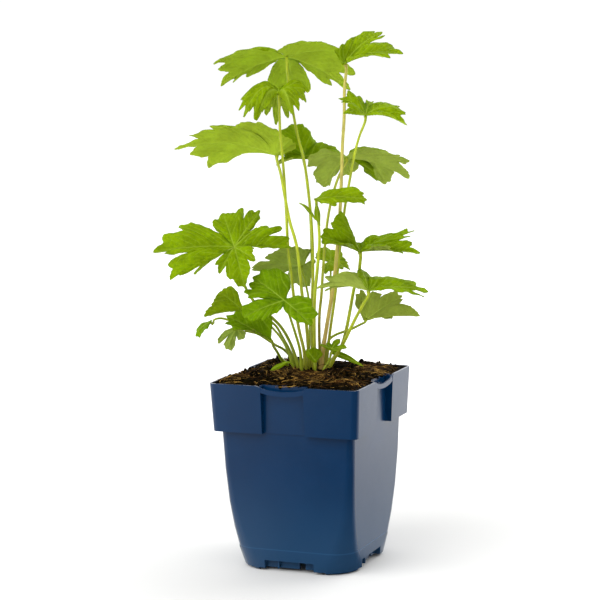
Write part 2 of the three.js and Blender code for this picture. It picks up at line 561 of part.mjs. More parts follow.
function pocketArc() {
  const shape = new THREE.Shape();
  shape.moveTo(-POCKET_ARC_HALF, REACH);
  shape.lineTo(-POCKET_ARC_HALF, 0);
  traceArc(shape, 1, 0);
  shape.lineTo(POCKET_ARC_HALF, REACH);
  return stoodUp(shape, RIM_HALF - POCKET_ARC_DEPTH, REACH);
}

function pocketBridge() {
  const shape = new THREE.Shape();
  shape.moveTo(-POCKET_ARC_HALF, 0);
  traceArc(shape, 1, 0);
  shape.lineTo(POCKET_ARC_HALF, -BRIDGE_HEIGHT);
  traceArc(shape, -1, -BRIDGE_HEIGHT);
  return stoodUp(shape, BRIDGE_FACE - BRIDGE_WALL, BRIDGE_WALL);
}

function skirtParts() {
  const spans = [
    [NOTCH_LEFT - WALL, NOTCH_LEFT, SKIRT_END_FACE],
    [NOTCH_LEFT - WALL, SKIRT_GAP[0], SKIRT_FACE],
    [SKIRT_RIB[0], SKIRT_RIB[1], SKIRT_RIB_FACE],
    [SKIRT_GAP[1], NOTCH_RIGHT + WALL, SKIRT_FACE],
    [NOTCH_RIGHT, NOTCH_RIGHT + WALL, SKIRT_END_FACE],
  ];
  const top = BASE_PLATE_LOW + WALL / 2;
  return spans.map(([x0, x1, face]) => box(x0, x1, -face, SKIRT_WALL - SKIRT_FACE, SKIRT_FOOT, top));
}

function makePot() {
  const bodyTop = COLLAR_FOOT + WALL;
  let pot = toManifold(loft([...BODY_LEVELS.map((z) => bodyRing(z)), bodyRing(bodyTop)]));
  pot = pot.add(toManifold(loft([collarRing(COLLAR_FOOT), collarRing(RIM_HEIGHT)])));
  pot = pot.subtract(toManifold(loft([...interiorRings(0), collarRing(RIM_HEIGHT + REACH, WALL)])));
  const foot = bodyRing(BODY_LEVELS[1], FOOT_WALL);
  const below = foot.map((point) => point.clone().setZ(-REACH));
  const under = loft([below, foot, bodyRing(BASE_PLATE_LOW, FOOT_WALL)]);
  pot = pot.subtract(toManifold(under));
  const pad = new THREE.CylinderGeometry(BASE_PAD_RADIUS, BASE_PAD_RADIUS, BASE_PLATE_TOP, BASE_PAD_SIDES);
  pad.rotateX(Math.PI / 2).translate(0, 0, BASE_PLATE_TOP / 2);
  pot = pot.add(toManifold(pad));
  const outside = -(RIM_HALF + REACH);
  const footReach = -(BODY_TOP_HALF - REACH);
  for (const turn of QUARTER_TURNS) {
    pot = pot.add(quarterTurned(pocketPad(0, RIM_HEIGHT), turn));
    const cuts = [
      box(-PANEL_HALF, PANEL_HALF, outside, -PANEL_FACE, COLLAR_FOOT - 1, RIM_HEIGHT + 1),
      pocketArc(),
      box(-SIDE_LIFT_HALF, SIDE_LIFT_HALF, outside, footReach, -1, SIDE_LIFT),
      box(NOTCH_LEFT, NOTCH_RIGHT, outside, footReach, -1, NOTCH_HEIGHT),
    ];
    for (const cut of cuts) {
      pot = pot.subtract(quarterTurned(cut, turn));
    }
    for (const part of [pocketBridge(), ...skirtParts()]) {
      pot = pot.add(quarterTurned(part, turn));
    }
  }
  return fromManifold(pot);
}

function soilHeight(x, y) {
  const fall = Math.max(Math.abs(x), Math.abs(y)) / RIM_HALF;
  const dome = SOIL_DOME * (1 - fall ** 2);
  const bump = SOIL_WAVES.reduce((sum, [size, alongX, alongY, phase]) => (
    sum + size * Math.sin(alongX * x + alongY * y + phase)), 0);
  return SOIL_EDGE + dome + bump * (1 - fall ** 4);
}

function makeSoil(stems) {
  const rings = interiorRings(CLEARANCE);
  const edge = collarRing(SOIL_EDGE, WALL + CLEARANCE);
  for (let ring = SOIL_RINGS; ring > 0; ring -= 1) {
    const level = edge.map((point) => point.clone().multiplyScalar(ring / SOIL_RINGS));
    level.forEach((point) => point.setZ(soilHeight(point.x, point.y)));
    rings.push(level);
  }
  let soil = toManifold(loft(rings));
  for (const turn of QUARTER_TURNS) {
    soil = soil.subtract(quarterTurned(pocketPad(CLEARANCE, SOIL_EDGE + SOIL_DOME), turn));
  }
  soil = soil.subtract(rootstock(CLEARANCE));
  for (const stem of stems) {
    soil = soil.subtract(toManifold(stemHole(stem).rotateZ(PLANT_TURN)));
  }
  return fromManifold(soil);
}

// Crown with its roots, every surface moved out by the given clearance
function rootstock(clearance) {
  const rings = CROWN_LEVELS.map(([depth, share]) => {
    const ring = [];
    const lift = depth === 0 ? clearance : -clearance * (depth / CROWN_LEVELS[CROWN_LEVELS.length - 1][0]);
    for (let i = 0; i < CROWN_SIDES; i += 1) {
      const angle = (i / CROWN_SIDES) * Math.PI * 2;
      const lump = 1 + CROWN_LUMP * Math.sin(3 * angle + 1);
      const x = CROWN_CENTRE[0] + (CROWN_RADII[0] * share * lump + clearance) * Math.cos(angle);
      const y = CROWN_CENTRE[1] + (CROWN_RADII[1] * share * lump + clearance) * Math.sin(angle);
      ring.push(new THREE.Vector3(x, y, CROWN_TOP - depth + lift));
    }
    return ring;
  });
  let body = toManifold(loft(rings.reverse()));
  for (let i = 0; i < ROOT_COUNT; i += 1) {
    const angle = (i / ROOT_COUNT) * Math.PI * 2 + 0.4;
    const out = new THREE.Vector3(Math.cos(angle), Math.sin(angle), 0);
    const start = new THREE.Vector3(...CROWN_CENTRE, CROWN_TOP - ROOT_INSET).addScaledVector(out, ROOT_INSET);
    const middle = start.clone().addScaledVector(out, ROOT_SPREAD * 0.7);
    middle.z -= ROOT_LENGTH * 0.45;
    const end = start.clone().addScaledVector(out, ROOT_SPREAD * (0.8 + 0.2 * Math.sin(5 * i)));
    end.z -= ROOT_LENGTH * (0.85 + 0.15 * Math.cos(4 * i)) + clearance;
    const curve = new THREE.CatmullRomCurve3([start, middle, end]);
    const root = tube(curve, ROOT_RADIUS + clearance, ROOT_TIP_RADIUS + clearance, ROOT_STEPS);
    body = body.add(toManifold(root));
  }
  return body.rotate([0, 0, THREE.MathUtils.radToDeg(PLANT_TURN)]);
}

// Rings of a round tube along a curve, its radius going from the first to the second
function tubeRings(curve, startRadius, endRadius, steps) {
  const frames = curve.computeFrenetFrames(steps, false);
  const rings = [];
  for (let k = 0; k <= steps; k += 1) {
    const share = k / steps;
    const centre = curve.getPointAt(share);
    const radius = startRadius + (endRadius - startRadius) * share;
    const ring = [];
    for (let i = 0; i < STEM_SIDES; i += 1) {
      const angle = (i / STEM_SIDES) * Math.PI * 2;
      const point = centre.clone();
      point.addScaledVector(frames.normals[k], radius * Math.cos(angle));
      point.addScaledVector(frames.binormals[k], radius * Math.sin(angle));
      ring.push(point);
    }
    rings.push(ring);
  }
  return rings;
}

function tube(curve, startRadius, endRadius, steps) {
  return loft(tubeRings(curve, startRadius, endRadius, steps));
}

// The hole that a stem stands in: the stem's own lowest rings, wider and carried down into the crown
function stemHole(stem) {
  const [low, high] = stem.thick.map((radius) => radius + HOLE_CLEARANCE);
  const rings = tubeRings(stem.curve, low, high, stem.steps);
  const top = rings.findIndex((ring) => Math.min(...ring.map((point) => point.z)) > HOLE_TOP);
  const foot = rings[0].map((point) => new THREE.Vector3(point.x, point.y, point.z - HOLE_DEEPER));
  return loft([foot, ...rings.slice(1, top < 0 ? rings.length : top + 1)]);
}

function stalkCurve(leaf) {
  const hub = place(leaf.hub);
  const up = new THREE.Vector3(...leaf.up).normalize();
  const radius = leaf.thick[1];
  const slope = hubSlope(leaf);
  const end = hub.clone().addScaledVector(up, -(BLADE / 2 + CLEARANCE + radius * slope));
  const neck = end.clone().addScaledVector(up, -NECK);
  const [x, y] = leaf.foot;
  const surface = soilHeightPlant(x, y);
  const route = leaf.route.map(place).reverse();
  const heights = [CROWN_TOP + 2 * CLEARANCE, ...STEM_UPRIGHT.map((rise) => surface + rise)];
  const foot = heights.map((z) => new THREE.Vector3(x, y, z));
  return new THREE.CatmullRomCurve3([...foot, ...route, neck, end]);
}

function soilHeightPlant(x, y) {
  const turned = new THREE.Vector3(x, y, 0).applyAxisAngle(new THREE.Vector3(0, 0, 1), PLANT_TURN);
  return soilHeight(turned.x, turned.y);
}

function between(a, b, share) {
  const direction = a.clone().normalize();
  const other = b.clone().normalize();
  const angle = direction.angleTo(other);
  const length = a.length() + (b.length() - a.length()) * share;
  if (angle < 1e-4) {
    return direction.multiplyScalar(length);
  }
  direction.multiplyScalar(Math.sin((1 - share) * angle));
  direction.addScaledVector(other, Math.sin(share * angle));
  return direction.multiplyScalar(length / Math.sin(angle));
}

// Points round the rim: the offset from the hub to the line of the tips, and the share of it reached
function rimSamples(leaf) {
  const hub = place(leaf.hub);
  const tips = leaf.rim.map((tip) => place(tip).sub(hub));
  const samples = [];
  for (let i = 0; i < tips.length - 1; i += 1) {
    const bay = leaf.rim[i][3];
    const edge = bay < SMOOTH_BAY ? EDGE_STOPS : SMOOTH_STOPS;
    const stops = bay < SHALLOW_BAY ? BAY_STOPS : edge;
    const power = bay < DEEP_BAY ? DEEP_POWER : TOOTH_POWER;
    for (const stop of stops) {
      const towardsBay = 1 - Math.abs(2 * stop - 1);
      const reach = bay + (1 - bay) * (1 - towardsBay ** power);
      samples.push({ offset: between(tips[i], tips[i + 1], stop), reach });
    }
  }
  samples.push({ offset: tips[tips.length - 1], reach: 1 });
  samples.push({ offset: rearOffset(leaf, tips), reach: 1 });
  return samples;
}

// Half way round the gap between the last tip and the first, close to the hub
function rearOffset(leaf, tips) {
  const up = new THREE.Vector3(...leaf.up).normalize();
  const flat = tips.map((tip) => tip.clone().projectOnPlane(up).normalize());
  const across = up.clone().cross(flat[0]);
  const bearings = flat.map((tip) => Math.atan2(tip.dot(across), tip.dot(flat[0])));
  let turned = 0;
  for (let i = 1; i < bearings.length; i += 1) {
    turned += Math.atan2(Math.sin(bearings[i] - bearings[i - 1]), Math.cos(bearings[i] - bearings[i - 1]));
  }
  const rest = (2 * Math.PI - Math.abs(turned)) * Math.sign(turned);
  return flat[0].clone().applyAxisAngle(up, -rest / 2).multiplyScalar(REAR_RADIUS);
}

function bladePoint(leaf, hub, up, sample, share) {
  const reach = sample.reach * share;
  const arch = leaf.bow * sample.offset.length() * 4 * reach * (1 - reach);
  return hub.clone().addScaledVector(sample.offset, reach).addScaledVector(up, arch);
}

// How steeply the innermost facets fall away from the hub
function hubSlope(leaf) {
  const hub = place(leaf.hub);
  const up = new THREE.Vector3(...leaf.up).normalize();
  const slopes = rimSamples(leaf).map((sample) => {
    const edge = bladePoint(leaf, hub, up, sample, 1 / leaf.rings).sub(hub);
    const fall = -edge.dot(up);
    return fall / Math.sqrt(Math.max(edge.lengthSq() - fall * fall, 0.01));
  });
  return Math.max(0, ...slopes);
}

// Thin closed sheet: rings of points about the hub, moved half the thickness up and down
function makeBlade(leaf) {
  const hub = place(leaf.hub);
  const up = new THREE.Vector3(...leaf.up).normalize();
  let samples = rimSamples(leaf);
  const turn = new THREE.Vector3();
  samples.forEach((sample, i) => {
    const next = samples[(i + 1) % samples.length];
    turn.add(sample.offset.clone().cross(next.offset));
  });
  if (turn.dot(up) < 0) {
    samples = samples.reverse();
  }
  const count = samples.length;
  const middle = [hub];
  for (let ring = 1; ring <= leaf.rings; ring += 1) {
    middle.push(...samples.map((sample) => bladePoint(leaf, hub, up, sample, ring / leaf.rings)));
  }
  const faces = [];
  for (let i = 0; i < count; i += 1) {
    const j = (i + 1) % count;
    faces.push([0, 1 + i, 1 + j]);
    for (let k = 1; k < 1 + (leaf.rings - 1) * count; k += count) {
      faces.push([k + i, k + count + i, k + count + j], [k + i, k + count + j, k + j]);
    }
  }
  const normals = middle.map(() => new THREE.Vector3());
  for (const [a, b, c] of faces) {
    const ab = middle[b].clone().sub(middle[a]);
    const normal = ab.cross(middle[c].clone().sub(middle[a]));
    [a, b, c].forEach((vertex) => normals[vertex].add(normal));
  }
  normals.forEach((normal) => normal.normalize().multiplyScalar(BLADE / 2));
  const points = [
    ...middle.map((point, i) => point.clone().add(normals[i])),
    ...middle.map((point, i) => point.clone().sub(normals[i])),
  ];
  const under = middle.length;
  const index = [];
  for (const [a, b, c] of faces) {
    index.push(a, b, c, under + a, under + c, under + b);
  }
  const outer = 1 + (leaf.rings - 1) * count;
  for (let i = 0; i < count; i += 1) {
    const a = outer + i;
    const b = outer + ((i + 1) % count);
    index.push(under + a, under + b, b, under + a, b, a);
  }
  return solid(points, index);
}

// Lance-shaped blade: six-sided sections along the midrib, widest in its middle
function makeStrap(strap) {
  const curve = new THREE.CatmullRomCurve3(strap.midrib.map(place));
  const side = new THREE.Vector3(...strap.side).normalize();
  const rings = [];
  for (let k = 0; k <= STRAP_STEPS; k += 1) {
    const share = k / STRAP_STEPS;
    const along = curve.getTangentAt(share);
    const across = side.clone().projectOnPlane(along).normalize();
    const up = along.clone().cross(across).multiplyScalar(STRAP_DEPTH);
    const swell = (strap.half - STRAP_FOOT_HALF) * Math.sin(Math.PI * share) ** 1.5;
    across.multiplyScalar(share === 1 ? STRAP_TIP_HALF : STRAP_FOOT_HALF + swell);
    const ring = [];
    for (let i = 0; i < STRAP_SIDES; i += 1) {
      const angle = (i / STRAP_SIDES) * Math.PI * 2;
      const point = curve.getPointAt(share).addScaledVector(across, Math.cos(angle));
      ring.push(point.addScaledVector(up, Math.sin(angle)));
    }
    rings.push(ring);
  }
  return loft(rings);
}

function addMesh(parent, name, geometry, color, roughness) {
  const material = new THREE.MeshStandardMaterial({ color, roughness, metalness: 0 });
  const mesh = new THREE.Mesh(geometry, material);
  mesh.name = name;
  parent.add(mesh);
}

const stems = LEAVES.map((leaf) => {
  const curve = stalkCurve(leaf);
  const steps = Math.max(STEM_MIN_STEPS, Math.round(curve.getLength() / STEM_STEP));
  return { curve, thick: leaf.thick, steps };
});
const group = new THREE.Group();
addMesh(group, 'pot', makePot(), POT_BLUE, 0.35);
addMesh(group, 'soil', makeSoil(stems), SOIL_BROWN, 0.95);
addMesh(group, 'rootstock', fromManifold(rootstock(0)), ROOT_BROWN, 0.8);

const plant = new THREE.Group();
plant.rotation.z = PLANT_TURN;
group.add(plant);
LEAVES.forEach((leaf, i) => {
  const { curve, thick, steps } = stems[i];
  addMesh(plant, `${leaf.name}_stalk`, tube(curve, thick[0], thick[1], steps), leaf.stalk, 0.5);
  addMesh(plant, `${leaf.name}_blade`, makeBlade(leaf), leaf.leaf, 0.55);
});
for (const strap of STRAPS) {
  addMesh(plant, strap.name, makeStrap(strap), strap.leaf, 0.55);
}

export default group;
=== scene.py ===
# A young delphinium in a square moulded nursery pot, dressed over its CAD solids. Shapes are worked out in
# millimetres, with +Z up and the origin on the floor under the pot's middle, and go into the meshes in
# metres.
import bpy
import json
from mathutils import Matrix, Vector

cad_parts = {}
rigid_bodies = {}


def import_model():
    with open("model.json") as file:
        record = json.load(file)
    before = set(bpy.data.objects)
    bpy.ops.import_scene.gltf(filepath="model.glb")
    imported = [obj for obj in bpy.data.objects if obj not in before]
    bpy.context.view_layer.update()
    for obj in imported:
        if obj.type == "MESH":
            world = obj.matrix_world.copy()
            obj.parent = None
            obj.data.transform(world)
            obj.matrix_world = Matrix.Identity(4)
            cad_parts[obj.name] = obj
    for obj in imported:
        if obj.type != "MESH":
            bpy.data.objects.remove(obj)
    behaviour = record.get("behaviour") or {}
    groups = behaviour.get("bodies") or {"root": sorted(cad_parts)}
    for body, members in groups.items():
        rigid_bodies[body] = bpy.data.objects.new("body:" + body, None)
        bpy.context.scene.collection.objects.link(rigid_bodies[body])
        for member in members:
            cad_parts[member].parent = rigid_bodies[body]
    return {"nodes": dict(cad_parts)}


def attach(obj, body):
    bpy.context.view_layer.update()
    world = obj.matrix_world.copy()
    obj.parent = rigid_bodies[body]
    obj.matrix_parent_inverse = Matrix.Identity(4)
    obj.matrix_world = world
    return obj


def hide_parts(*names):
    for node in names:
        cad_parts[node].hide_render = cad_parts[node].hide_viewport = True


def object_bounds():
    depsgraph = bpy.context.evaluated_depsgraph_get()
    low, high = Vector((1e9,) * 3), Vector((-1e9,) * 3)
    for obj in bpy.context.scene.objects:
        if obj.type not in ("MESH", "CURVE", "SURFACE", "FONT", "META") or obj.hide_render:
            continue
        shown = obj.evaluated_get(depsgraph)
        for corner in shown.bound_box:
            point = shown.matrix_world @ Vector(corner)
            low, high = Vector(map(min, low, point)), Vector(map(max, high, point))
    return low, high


bl_info = {
    "name": "Potted Delphinium",
    "version": (1, 0, 0),
    "blender": (4, 5, 0),
    "location": "3D View > Sidebar > Delphinium",
    "description": "Leaves, stalks, soil, pot and studio of a young delphinium in its nursery pot",
    "category": "Object",
}

import json
import math

import bmesh
import bpy
import numpy as np
from mathutils import Matrix, Vector

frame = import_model()
CAD_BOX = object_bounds()
MM = 0.001

# Where the readings of the plant were taken from: the eye in the plant's own frame, and the turn of that
# frame on the pot
PLANT_TURN = math.radians(22.36)
EYE_X = -7.8
EYE_DISTANCE = 1520.0
EYE_HEIGHT = 406.9

# Camera: bearing and height of its line of sight, roll, place in metres, lens and sensor in mm
CAMERA_AZIMUTH = math.radians(22.36)
CAMERA_ELEVATION = math.radians(7.69)
CAMERA_ROLL = math.radians(-1.03)
CAMERA_PLACE = (0.57106, -1.40878, 0.40686)
CAMERA_LENS = 120.76
CAMERA_SENSOR = 36
CAMERA_CLIP = (0.05, 30)
# Lights: the setting that holds the power, the place in metres and the width. Both aim at the plant's
# middle.
LIGHTS = [("key", (-0.75, -1.35, 1.55), 1.9), ("back", (0.7, 1.3, 1.3), 2.0)]
LIGHTS_AIM = (0, 0, 0.22)
FLOOR_REACH = 6.0
# Direction from the dark screen at the front right to the lit wall, the cosines of the angle to it between
# which the screen gives way to the wall, and the share of the floor's colour left in glossy reflections at
# the front right, where the floor is a painted dark reflection
SCREEN_AXIS = (-0.55, 0.83, 0.1)
SCREEN_EDGES = (-0.8, -0.2)
FLOOR_DARK = 0.02

# Pot and soil, as in the CAD source
RIM_HALF = 60.0
RIM_HEIGHT = 144.2
COLLAR_FOOT = 107.6
COLLAR_FOOT_HALF = 58.2
COLLAR_CORNER = 5.0
BODY_TOP_HALF = 53.5
BODY_SLOPE = 3.9
BODY_CURL = 3.0
BODY_CURL_POWER = 2.4
TOP_CORNER = 5.2
FOOT_CORNER_GAIN = 21.8
CORNER_POWER = 3.4
WALL = 1.6
CLEARANCE = 0.3
# Where the peat's outline steps in for a label pocket: half its width, and how far from the axis it stands
PAD_HALF = 20.3
PAD_INNER = 52.1
SOIL_EDGE = 144.5
SOIL_DOME = 4.5
SOIL_WAVES = [[0.5, 0.21, 0.17, 0.7], [0.5, 0.21, -0.17, 1.9], [0.6, 0.13, 0.26, 0.0]]
CROWN_TOP = 136.0
# Height of the painted highlight, a light line where the ridge of the foot band catches the light, the least
# angle between faces whose edge is rounded, and how near corners are joined in mm
RIDGE_HIGHLIGHT_HEIGHT = 17.0
EDGE_ANGLE = math.radians(32)
WELD_DISTANCE = 0.005
PLASTIC_IOR = 1.49

# Peat mesh: points round it, rings over its top and the smallest of them as a share of the largest, its gap
# to the solid's side and how far under the collar's ledge the last ring of the body lies, and the heights of
# the rings below and beside the collar, all in mm
SOIL_COLUMNS = 480
SOIL_ROWS = 84
SOIL_LEAST_RING = 0.012
SOIL_GAP = 0.05
LEDGE_STEP = 0.1
BODY_LEVELS = [10.6, 13, 18, 24, 32, 42, 54, 70, 90]
COLLAR_LEVELS = [125, 140]
# Crumbs: width of their cells in mm, seed, and height as a share of the coarsest, what comes off all, the
# least radius and how much larger it gets, as shares of the cell, and the share of the height lost beside
# the wall
CRUMB_SIZES = [(7.5, 3, 1.0), (3.4, 17, 0.55), (1.7, 29, 0.3)]
CRUMB_MEAN = 0.85
CRUMB_RADII = (0.45, 0.5)
CRUMB_LOSS = 0.7
# Small hollow in the peat before the stems, how far the peat is sunk beside the wall, in mm, and where it
# sinks there, as shares of the way to the rim
PIT = (6.7, -12.4)
PIT_RADIUS = 5.5
PIT_DEPTH = 7.0
EDGE_DROP = 1.5
EDGE_START, EDGE_FULL = 0.74, 0.96
# Drifts of longer fibres: x, y and heading of each, their spread, the share of all fibres in them, how far
# these turn from the drift's heading, their lengths, and their bend as a share of the others'
DRIFTS = [[-47, -39, 0.4], [42, -38, 0.2], [6, -38, 0.3], [-10, -24, -0.9], [14, -26, -1.9], [44, 16, 0.6]]
DRIFT_SPREAD = 7.0
DRIFT_SHARE = 0.45
DRIFT_TURN = 0.4
DRIFT_LENGTHS = (0.6, 1.6)
DRIFT_BEND = 0.4
# Fibres: colour, fifths of their number, seed and usual greatest length in mm, their lengths as shares of
# it and the power that makes long ones rare, then how far they lie from the wall, their points, sides and
# radii, how far they are bent and lifted, as shares of their length, how far they bridge the crumbs, and
# their gap to the peat in mm
FIBRES = [("tan", 2, 11, 14), ("rust", 3, 23, 16)]
FIBRE_LENGTHS = (0.25, 1)
FIBRE_POWER = 1.4
FIBRE_ROOM = 3.5
FIBRE_EDGE = 1.2
FIBRE_POINTS = 9
FIBRE_SIDES = 3
FIBRE_RADII = (0.08, 0.22)
FIBRE_BEND = 0.2
FIBRE_LIFT = 0.07
FIBRE_BRIDGE = 0.35
FIBRE_GAP = 0.25
# Lumps: seed, how far they lie from the wall, sides, the angles of their rings from the top, the least size
# and how much larger they get in mm, how far each is squeezed and dented, and how far it stands out
LUMP_SEED = 5
LUMP_ROOM = 3
LUMP_SIDES = 7
LUMP_RINGS = [0.5, 1.57, 2.64]
LUMP_SIZES = (0.45, 1.5)
LUMP_SQUEEZE = (0.55, 1.25)
LUMP_DENT = (0.7, 1.2)
LUMP_RISE = 0.35

# Steps in each span of a smooth curve before its points are spaced evenly
SPAN_STEPS = 30
# Stalks: points round one, ribs, how far above the crown they start, how far below and above the peat's
# surface the route's next two points lie, the middle and reach of the sheath above the crown, how much
# wider the cone under the blade gets and its length, how far under the hub the last two points lie, all in
# mm, and the colour each kind is flushed with near the soil
STALK_SIDES = 12
STALK_RIBS = 5
STALK_START = 0.6
STALK_SUNK, STALK_RISEN = 4, 1
SHEATH_MIDDLE = 12
SHEATH_REACH = 9
CONE_GROWTH = 0.45
CONE_LENGTH = 1.6
STALK_ENDS = (3.6, 0.5)
FLUSH = {"yellow": "#a8a434", "green": "#96a032", "pink": "#b88c48", "red": "#925a2c"}
# Hairs: radius and depth of the root in mm, the usual slope along the stalk, least and greatest length as
# shares of the usual, colour, and the seed of the first stalk's
HAIR_RADIUS = 0.035
HAIR_ROOT = 0.1
HAIR_LEAN = 0.35
HAIR_LENGTHS = (0.5, 1.3)
HAIR_TINT = "#dfe3b4"
HAIR_SEED = 100

# Blade outline, as in the CAD source
DEEP_BAY = 0.72
DEEP_POWER = 1.8
TOOTH_POWER = 1.6
REAR_RADIUS = 2.6
RIM_SUBSTEPS = 40

# Teeth and veins: how many rim points to look to either side, the least height of a tooth in mm, how far in
# the rim comes between two lobes, the angles at which veins spread from the hub and branch, a fine tooth's
# length, curve, seed and least height as a share of the greatest, how far from the hub fine teeth start and
# are full, the way between two side veins, and between the points of a vein
TOOTH_WINDOW = 4
TOOTH_HEIGHT = 0.9
LOBE_DEPTH = 0.66
VEIN_SPREAD = math.radians(34)
VEIN_BRANCH = math.radians(38)
SAW_LENGTH = 4.2
SAW_POWER = 1.6
SAW_SEED = 41
SAW_LEAST = 0.3
SAW_START, SAW_FULL = 5, 14
SIDE_SPACING = 5.6
VEIN_STEP = 0.6
# Half widths of a vein at its start and end in mm: main veins and the ones that leave them
MAIN_WIDTHS = (0.52, 0.16)
SIDE_WIDTHS = (0.3, 0.12)
# Where a vein ends, as a share of the way to its tooth: main veins and the ones that leave them, and how
# far out one leaves at least and at most, as shares of the way to its own tooth and to the main vein's
MAIN_END = 0.97
SIDE_END = 0.96
LEAVE_LEAST, LEAVE_MOST = 0.06, 0.9
# Fine side veins: how far the two sides of a main vein are out of step and how far they waver, as shares of
# their spacing, and the mm for a radian of that wave outwards and its number once round
SIDE_SHIFT = 0.25
SIDE_WAVER = 0.3
WAVER_LENGTH = 7
WAVER_TURNS = 5
# Where a crease lies if a blade has none, and the distance that stands for no vein near, in mm
FAR_OFF = 999.0
NO_VEIN = 9
# Relief of a blade: how far in mm from its midrib a lobe has risen, by what power, and the share of it that
# is lost at the rim, half width of the groove over a vein and over a side vein and of the ridge under a
# vein, that ridge's share of the veins' depth, how many half widths from a vein the quilt and the blisters
# are full, and how far in mm from the hub the relief starts and is full
LOBE_RISE = 8.0
LOBE_POWER = 1.2
LOBE_LOSS = 0.5
VEIN_GROOVE = 3.5
SIDE_GROOVE = 0.9
VEIN_RIDGE = 1.6
RIDGE_SHARE = 0.9
QUILT_FULL = 3
BLISTER_FULL = 4
RELIEF_START, RELIEF_FULL = 2, 12
# Rings of a blade, at least and at most, the waves of its uneven skin in mm and how far they bend, where
# the wave along the rim is full, and the share of its thickness that a blade loses towards the rim
RING_COUNTS = (6, 42)
BLISTER_WAVES = (2.1, 3.7, 2.3)
BLISTER_BEND = 1.7
WAVE_FULL = 20
RIM_THINNING = 0.55
# Straps: step along one, least half width, thickness at the rim and how much more in the middle, all in mm,
# points round one, how steeply the halves fold up, height and length of its waves, the share of the way
# where its tip starts, the share of its width that it loses there, and half the width of its midrib's line
# in mm
STRAP_STEP = 0.6
STRAP_LEAST = 0.6
STRAP_THICKNESS = (0.12, 0.3)
STRAP_SIDES = 20
STRAP_FOLD = 0.3
STRAP_WAVE = (0.12, 1.7)
STRAP_TIP = 0.93
STRAP_TIP_LOSS = 0.8
STRAP_RIB = 0.3

# Looks of a blade's sides: shade of its darker and lighter patches, shares of dark and of light flecks and
# of the pale net, +1 where veins stand out and -1 where they are sunk, gloss, least and most roughness
BLADE_LOOKS = {
    "upper": (0.76, 1.2, 0.6, 0.45, 0.1, -1, 0.05, 0.42, 0.58),
    "under": (0.84, 1.1, 0.3, 0.2, 0.16, 1, 0.09, 0.6, 0.75),
}
VEIN_TINT = "#b9cf52"
SKIN_IOR = 1.42
# Furrows and ridges of the crown
ROOT_TINTS = ("#3a2715", "#7d5a36")
# How a share changes between the ends of a range
SMOOTH = {"interpolation_type": "SMOOTHSTEP"}

